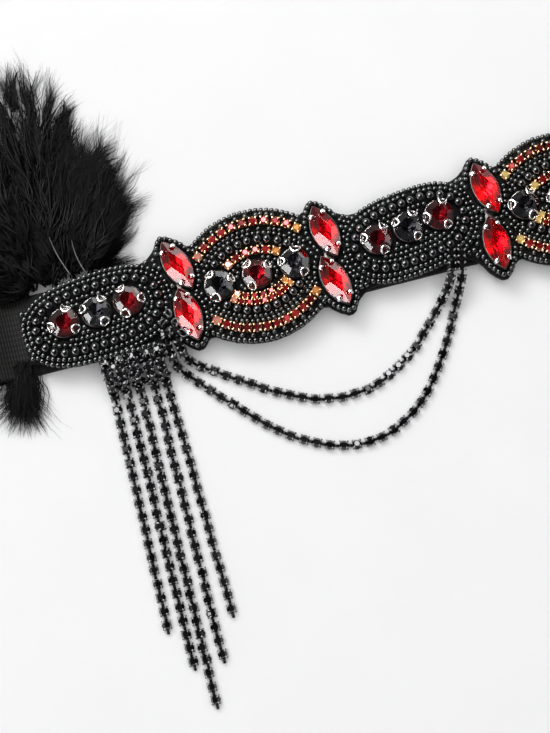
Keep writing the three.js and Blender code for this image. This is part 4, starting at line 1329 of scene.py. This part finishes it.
def lock_barbs(rng, spines, locks, per_lock, shares, spread, lengths, widths, depth, limits):
    """Locks of barbs on both sides of the shafts, wide apart near the root and closing towards the tips."""
    which = rng.integers(0, len(spines.turn), locks)
    share = rng.uniform(*shares, locks)
    points, ahead = spines.at(which, share)
    side = rng.choice([-1.0, 1.0], locks)
    heading = ahead + side * np.radians(spread * (1.15 - 0.75 * share) * rng.uniform(0.2, 1.1, locks))
    bend = side * rng.uniform(-0.05, 0.45, locks) + rng.normal(0, 0.12, locks)
    length = rng.uniform(*lengths, locks) * (1.15 - 0.45 * share)
    limit = rng.uniform(*limits, locks)
    lift = np.clip((spines.turn[which] - 45) / 45, 0, 1)
    heading -= 0.4 * lift
    bend += 0.3 * lift
    points, heading, bend, length, limit, tone = (
        np.repeat(v, per_lock, 0) for v in (points, heading, bend, length, limit, rng.random(locks)))
    count = locks * per_lock
    heading = heading + rng.normal(0, 0.09, count)
    directions = np.column_stack([np.sin(heading), np.cos(heading), rng.normal(0, 0.05, count)])
    points = points + np.column_stack([rng.normal(0, 0.55, (count, 2)), -depth * rng.random(count)])
    length = keep_inside(points, directions, length * rng.uniform(0.6, 1.1, count), limit)
    bends = bend + rng.normal(0, 0.05, count)
    drops = rng.normal(-0.05, 0.06, count)
    shape = barbs(rng, points, directions, length, bends, drops, rng.uniform(*widths, count))
    tones = (0.6 * tone + 0.4 * rng.random(count)) ** 2.5
    return shape, np.repeat(tones, BARB_POINTS)


def make_plume():
    shafts = Spines(96, np.random.default_rng(520))
    # Name, seed, replaced nodes; locks and barbs in each; then shares of the shaft, spread, lengths, widths,
    # depth and limits
    groups = [
        ("plume_mass", 501, ["feather_plume"],
         (610, 10, (0.0, 0.92), 30, (10, 19), (0.4, 0.8), 3.0, (0.74, 1.0))),
        ("plume_down", 502, [], (426, 14, (0.0, 1.0), 34, (8, 17), (0.12, 0.30), 1.6, (0.84, 1.14))),
        ("plume_wisps", 503, [], (244, 24, (0.4, 1.0), 28, (9, 21), (0.06, 0.13), 2.0, (0.95, 1.5))),
    ]
    for name, seed, replaced, locks in groups:
        shape, tones = lock_barbs(np.random.default_rng(seed), shafts, *locks)
        form = Form().add(*shape)
        form.tones = [tones]
        make_piece(form, name, "feather", [FEATHER], replaced)
    rng = np.random.default_rng(510)
    count = 1150
    heading = np.radians(rng.normal(-163, 9, count))
    starts = np.column_stack([
        TAIL_ROOT[0] + rng.normal(0, 1.5, count), TAIL_ROOT[1] + rng.uniform(-3, 4, count),
        rng.uniform(1.0, 4.2, count)])
    directions = np.column_stack([np.sin(heading), np.cos(heading), np.zeros(count)])
    points, faces = barbs(rng, starts, directions, rng.uniform(5, 15, count), rng.normal(0, 0.25, count),
                          rng.normal(-0.1, 0.05, count), rng.uniform(0.08, 0.4, count))
    form = Form().add(points, faces)
    form.tones = [np.repeat(rng.random(count) ** 2.5, BARB_POINTS)]
    make_piece(form, "plume_tail", "feather", [FEATHER])
    quills = Form()
    for foot, tip in [((-91.8, 12.6), (-95.0, 24.8)), ((-87.7, 12.2), (-89.2, 21.6))]:
        path = [
            (foot[0] + (tip[0] - foot[0]) * s - 0.5 * math.sin(math.pi * s),
             foot[1] + (tip[1] - foot[1]) * s, 7.8 + 1.5 * math.sin(s * 2.4))
            for s in np.linspace(0, 1, 12)]
        quills.add(*sweep(path, 0.36, 0.34, (0, 0, 1), 7, taper=np.linspace(1, 0.25, 12)), 0, tone=0.8)
    make_piece(quills, "plume_quills", "feather", [QUILL])


# Stage, light and camera


FLOOR_HALF = 2.4


def make_floor():
    mesh = bpy.data.meshes.new("floor")
    corners = [(x * FLOOR_HALF, y * FLOOR_HALF, 0) for x, y in ((-1, -1), (1, -1), (1, 1), (-1, 1))]
    mesh.from_pydata(corners, [], [(0, 1, 2, 3)])
    floor = bpy.data.objects.new("floor", mesh)
    bpy.context.scene.collection.objects.link(floor)
    surface = Surface("pale_floor", {"Roughness": 0.8})
    surface.colour(surface.noise(30.0), [(0.3, (0.90, 0.90, 0.905)), (0.7, (0.92, 0.92, 0.92))])
    mesh.materials.append(surface.material)


def band_direction(right, up):
    """A direction given in the photograph's own right and up, in the part's plan."""
    tilt = math.radians(BAND_TILT)
    return np.array([
        right * math.cos(tilt) + up * math.sin(tilt), -right * math.sin(tilt) + up * math.cos(tilt)])


def add_area_light(name, azimuth, elevation, distance, size, watts, seen_by):
    """A soft panel aimed at the band; azimuth is counted anticlockwise from the photograph's right."""
    flat = band_direction(math.cos(math.radians(azimuth)), math.sin(math.radians(azimuth)))
    rise = math.radians(elevation)
    back = Vector((flat[0] * math.cos(rise), flat[1] * math.cos(rise), math.sin(rise)))
    data = bpy.data.lights.new(name, "AREA")
    data.shape = "RECTANGLE"
    data.size, data.size_y = size
    data.energy = watts
    light = bpy.data.objects.new(name, data)
    light.location = Vector(PHOTO_MIDDLE) * MM + back * distance
    light.rotation_mode = "QUATERNION"
    light.rotation_quaternion = (-back).to_track_quat("-Z", "Y")
    light.visible_diffuse = "diffuse" in seen_by
    light.visible_glossy = "gloss" in seen_by
    bpy.context.scene.collection.objects.link(light)


def make_light():
    """A white table under a wide soft light, with small bright panels for the stones and beads to mirror."""
    world = bpy.data.worlds.new("studio")
    world.use_nodes = True
    nodes, links = world.node_tree.nodes, world.node_tree.links
    background = nodes["Background"]
    place = nodes.new("ShaderNodeTexCoord")
    split = nodes.new("ShaderNodeSeparateXYZ")
    links.new(place.outputs["Generated"], split.inputs["Vector"])
    sky = add_ramp(nodes, links, split.outputs["Z"], [
        (0.0, (0.9, 0.9, 0.9)), (0.35, (0.45, 0.45, 0.46)), (0.75, (0.08, 0.08, 0.085)),
        (1.0, (0.03, 0.03, 0.03))])
    links.new(sky, background.inputs["Color"])
    background.inputs["Strength"].default_value = 0.5
    bpy.context.scene.world = world
    add_area_light("overhead", 90, 86, 1.5, (2.2, 2.2), 26.5, ("diffuse",))
    add_area_light("key", 128, 50, 1.1, (0.5, 0.4), 3.0, ("diffuse",))
    add_area_light("key_panel", 128, 52, 1.1, (1.0, 0.8), 36, ("gloss",))
    add_area_light("low_panel", 214, 16, 0.9, (1.12, 0.26), 9.2, ("gloss",))
    add_area_light("right_panel", 25, 13, 0.9, (1.26, 0.16), 1.25, ("gloss",))
    add_area_light("far_strip", 68, 6.5, 0.9, (1.5, 0.13), 1.7, ("gloss",))
    bpy.context.scene.view_settings.view_transform = "Standard"


def make_camera():
    up = band_direction(0, 1)
    rise = math.radians(CAMERA_ELEVATION)
    back = Vector((-up[0] * math.cos(rise), -up[1] * math.cos(rise), math.sin(rise)))
    top = Vector((up[0] * math.sin(rise), up[1] * math.sin(rise), math.cos(rise)))
    right = top.cross(back)
    data = bpy.data.cameras.new("camera")
    data.lens = CAMERA_LENS
    data.sensor_fit = "AUTO"
    data.sensor_width = SENSOR
    camera = bpy.data.objects.new("camera", data)
    distance = PHOTO_HEIGHT * MM_PER_PIXEL * CAMERA_LENS / SENSOR * MM
    camera.location = Vector(PHOTO_MIDDLE) * MM + back * distance
    camera.rotation_mode = "QUATERNION"
    camera.rotation_quaternion = Matrix((right, top, back)).transposed().to_quaternion()
    data.clip_start = 0.02
    data.clip_end = 20
    bpy.context.scene.collection.objects.link(camera)
    bpy.context.scene.camera = camera


make_camera()
make_light()
make_floor()
make_elastic()
make_felt()
for bed in ("l1", "l2", "l3", "m1", "m2"):
    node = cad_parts[f"bead_bed_{bed}"]
    node.data.materials.clear()
    node.data.materials.append(FELT)
for lobe in LOBES.values():
    make_pearl_ring(lobe)
for medallion in MEDALLIONS.values():
    for side in ("upper", "lower"):
        make_crystal_rows(medallion, side)
for lobe in LOBES.values():
    make_lobe_seeds(lobe)
for medallion in MEDALLIONS.values():
    make_medallion_seeds(medallion)
make_round_stones()
make_navettes()
make_chains()
make_plume()

bpy.context.view_layer.update()
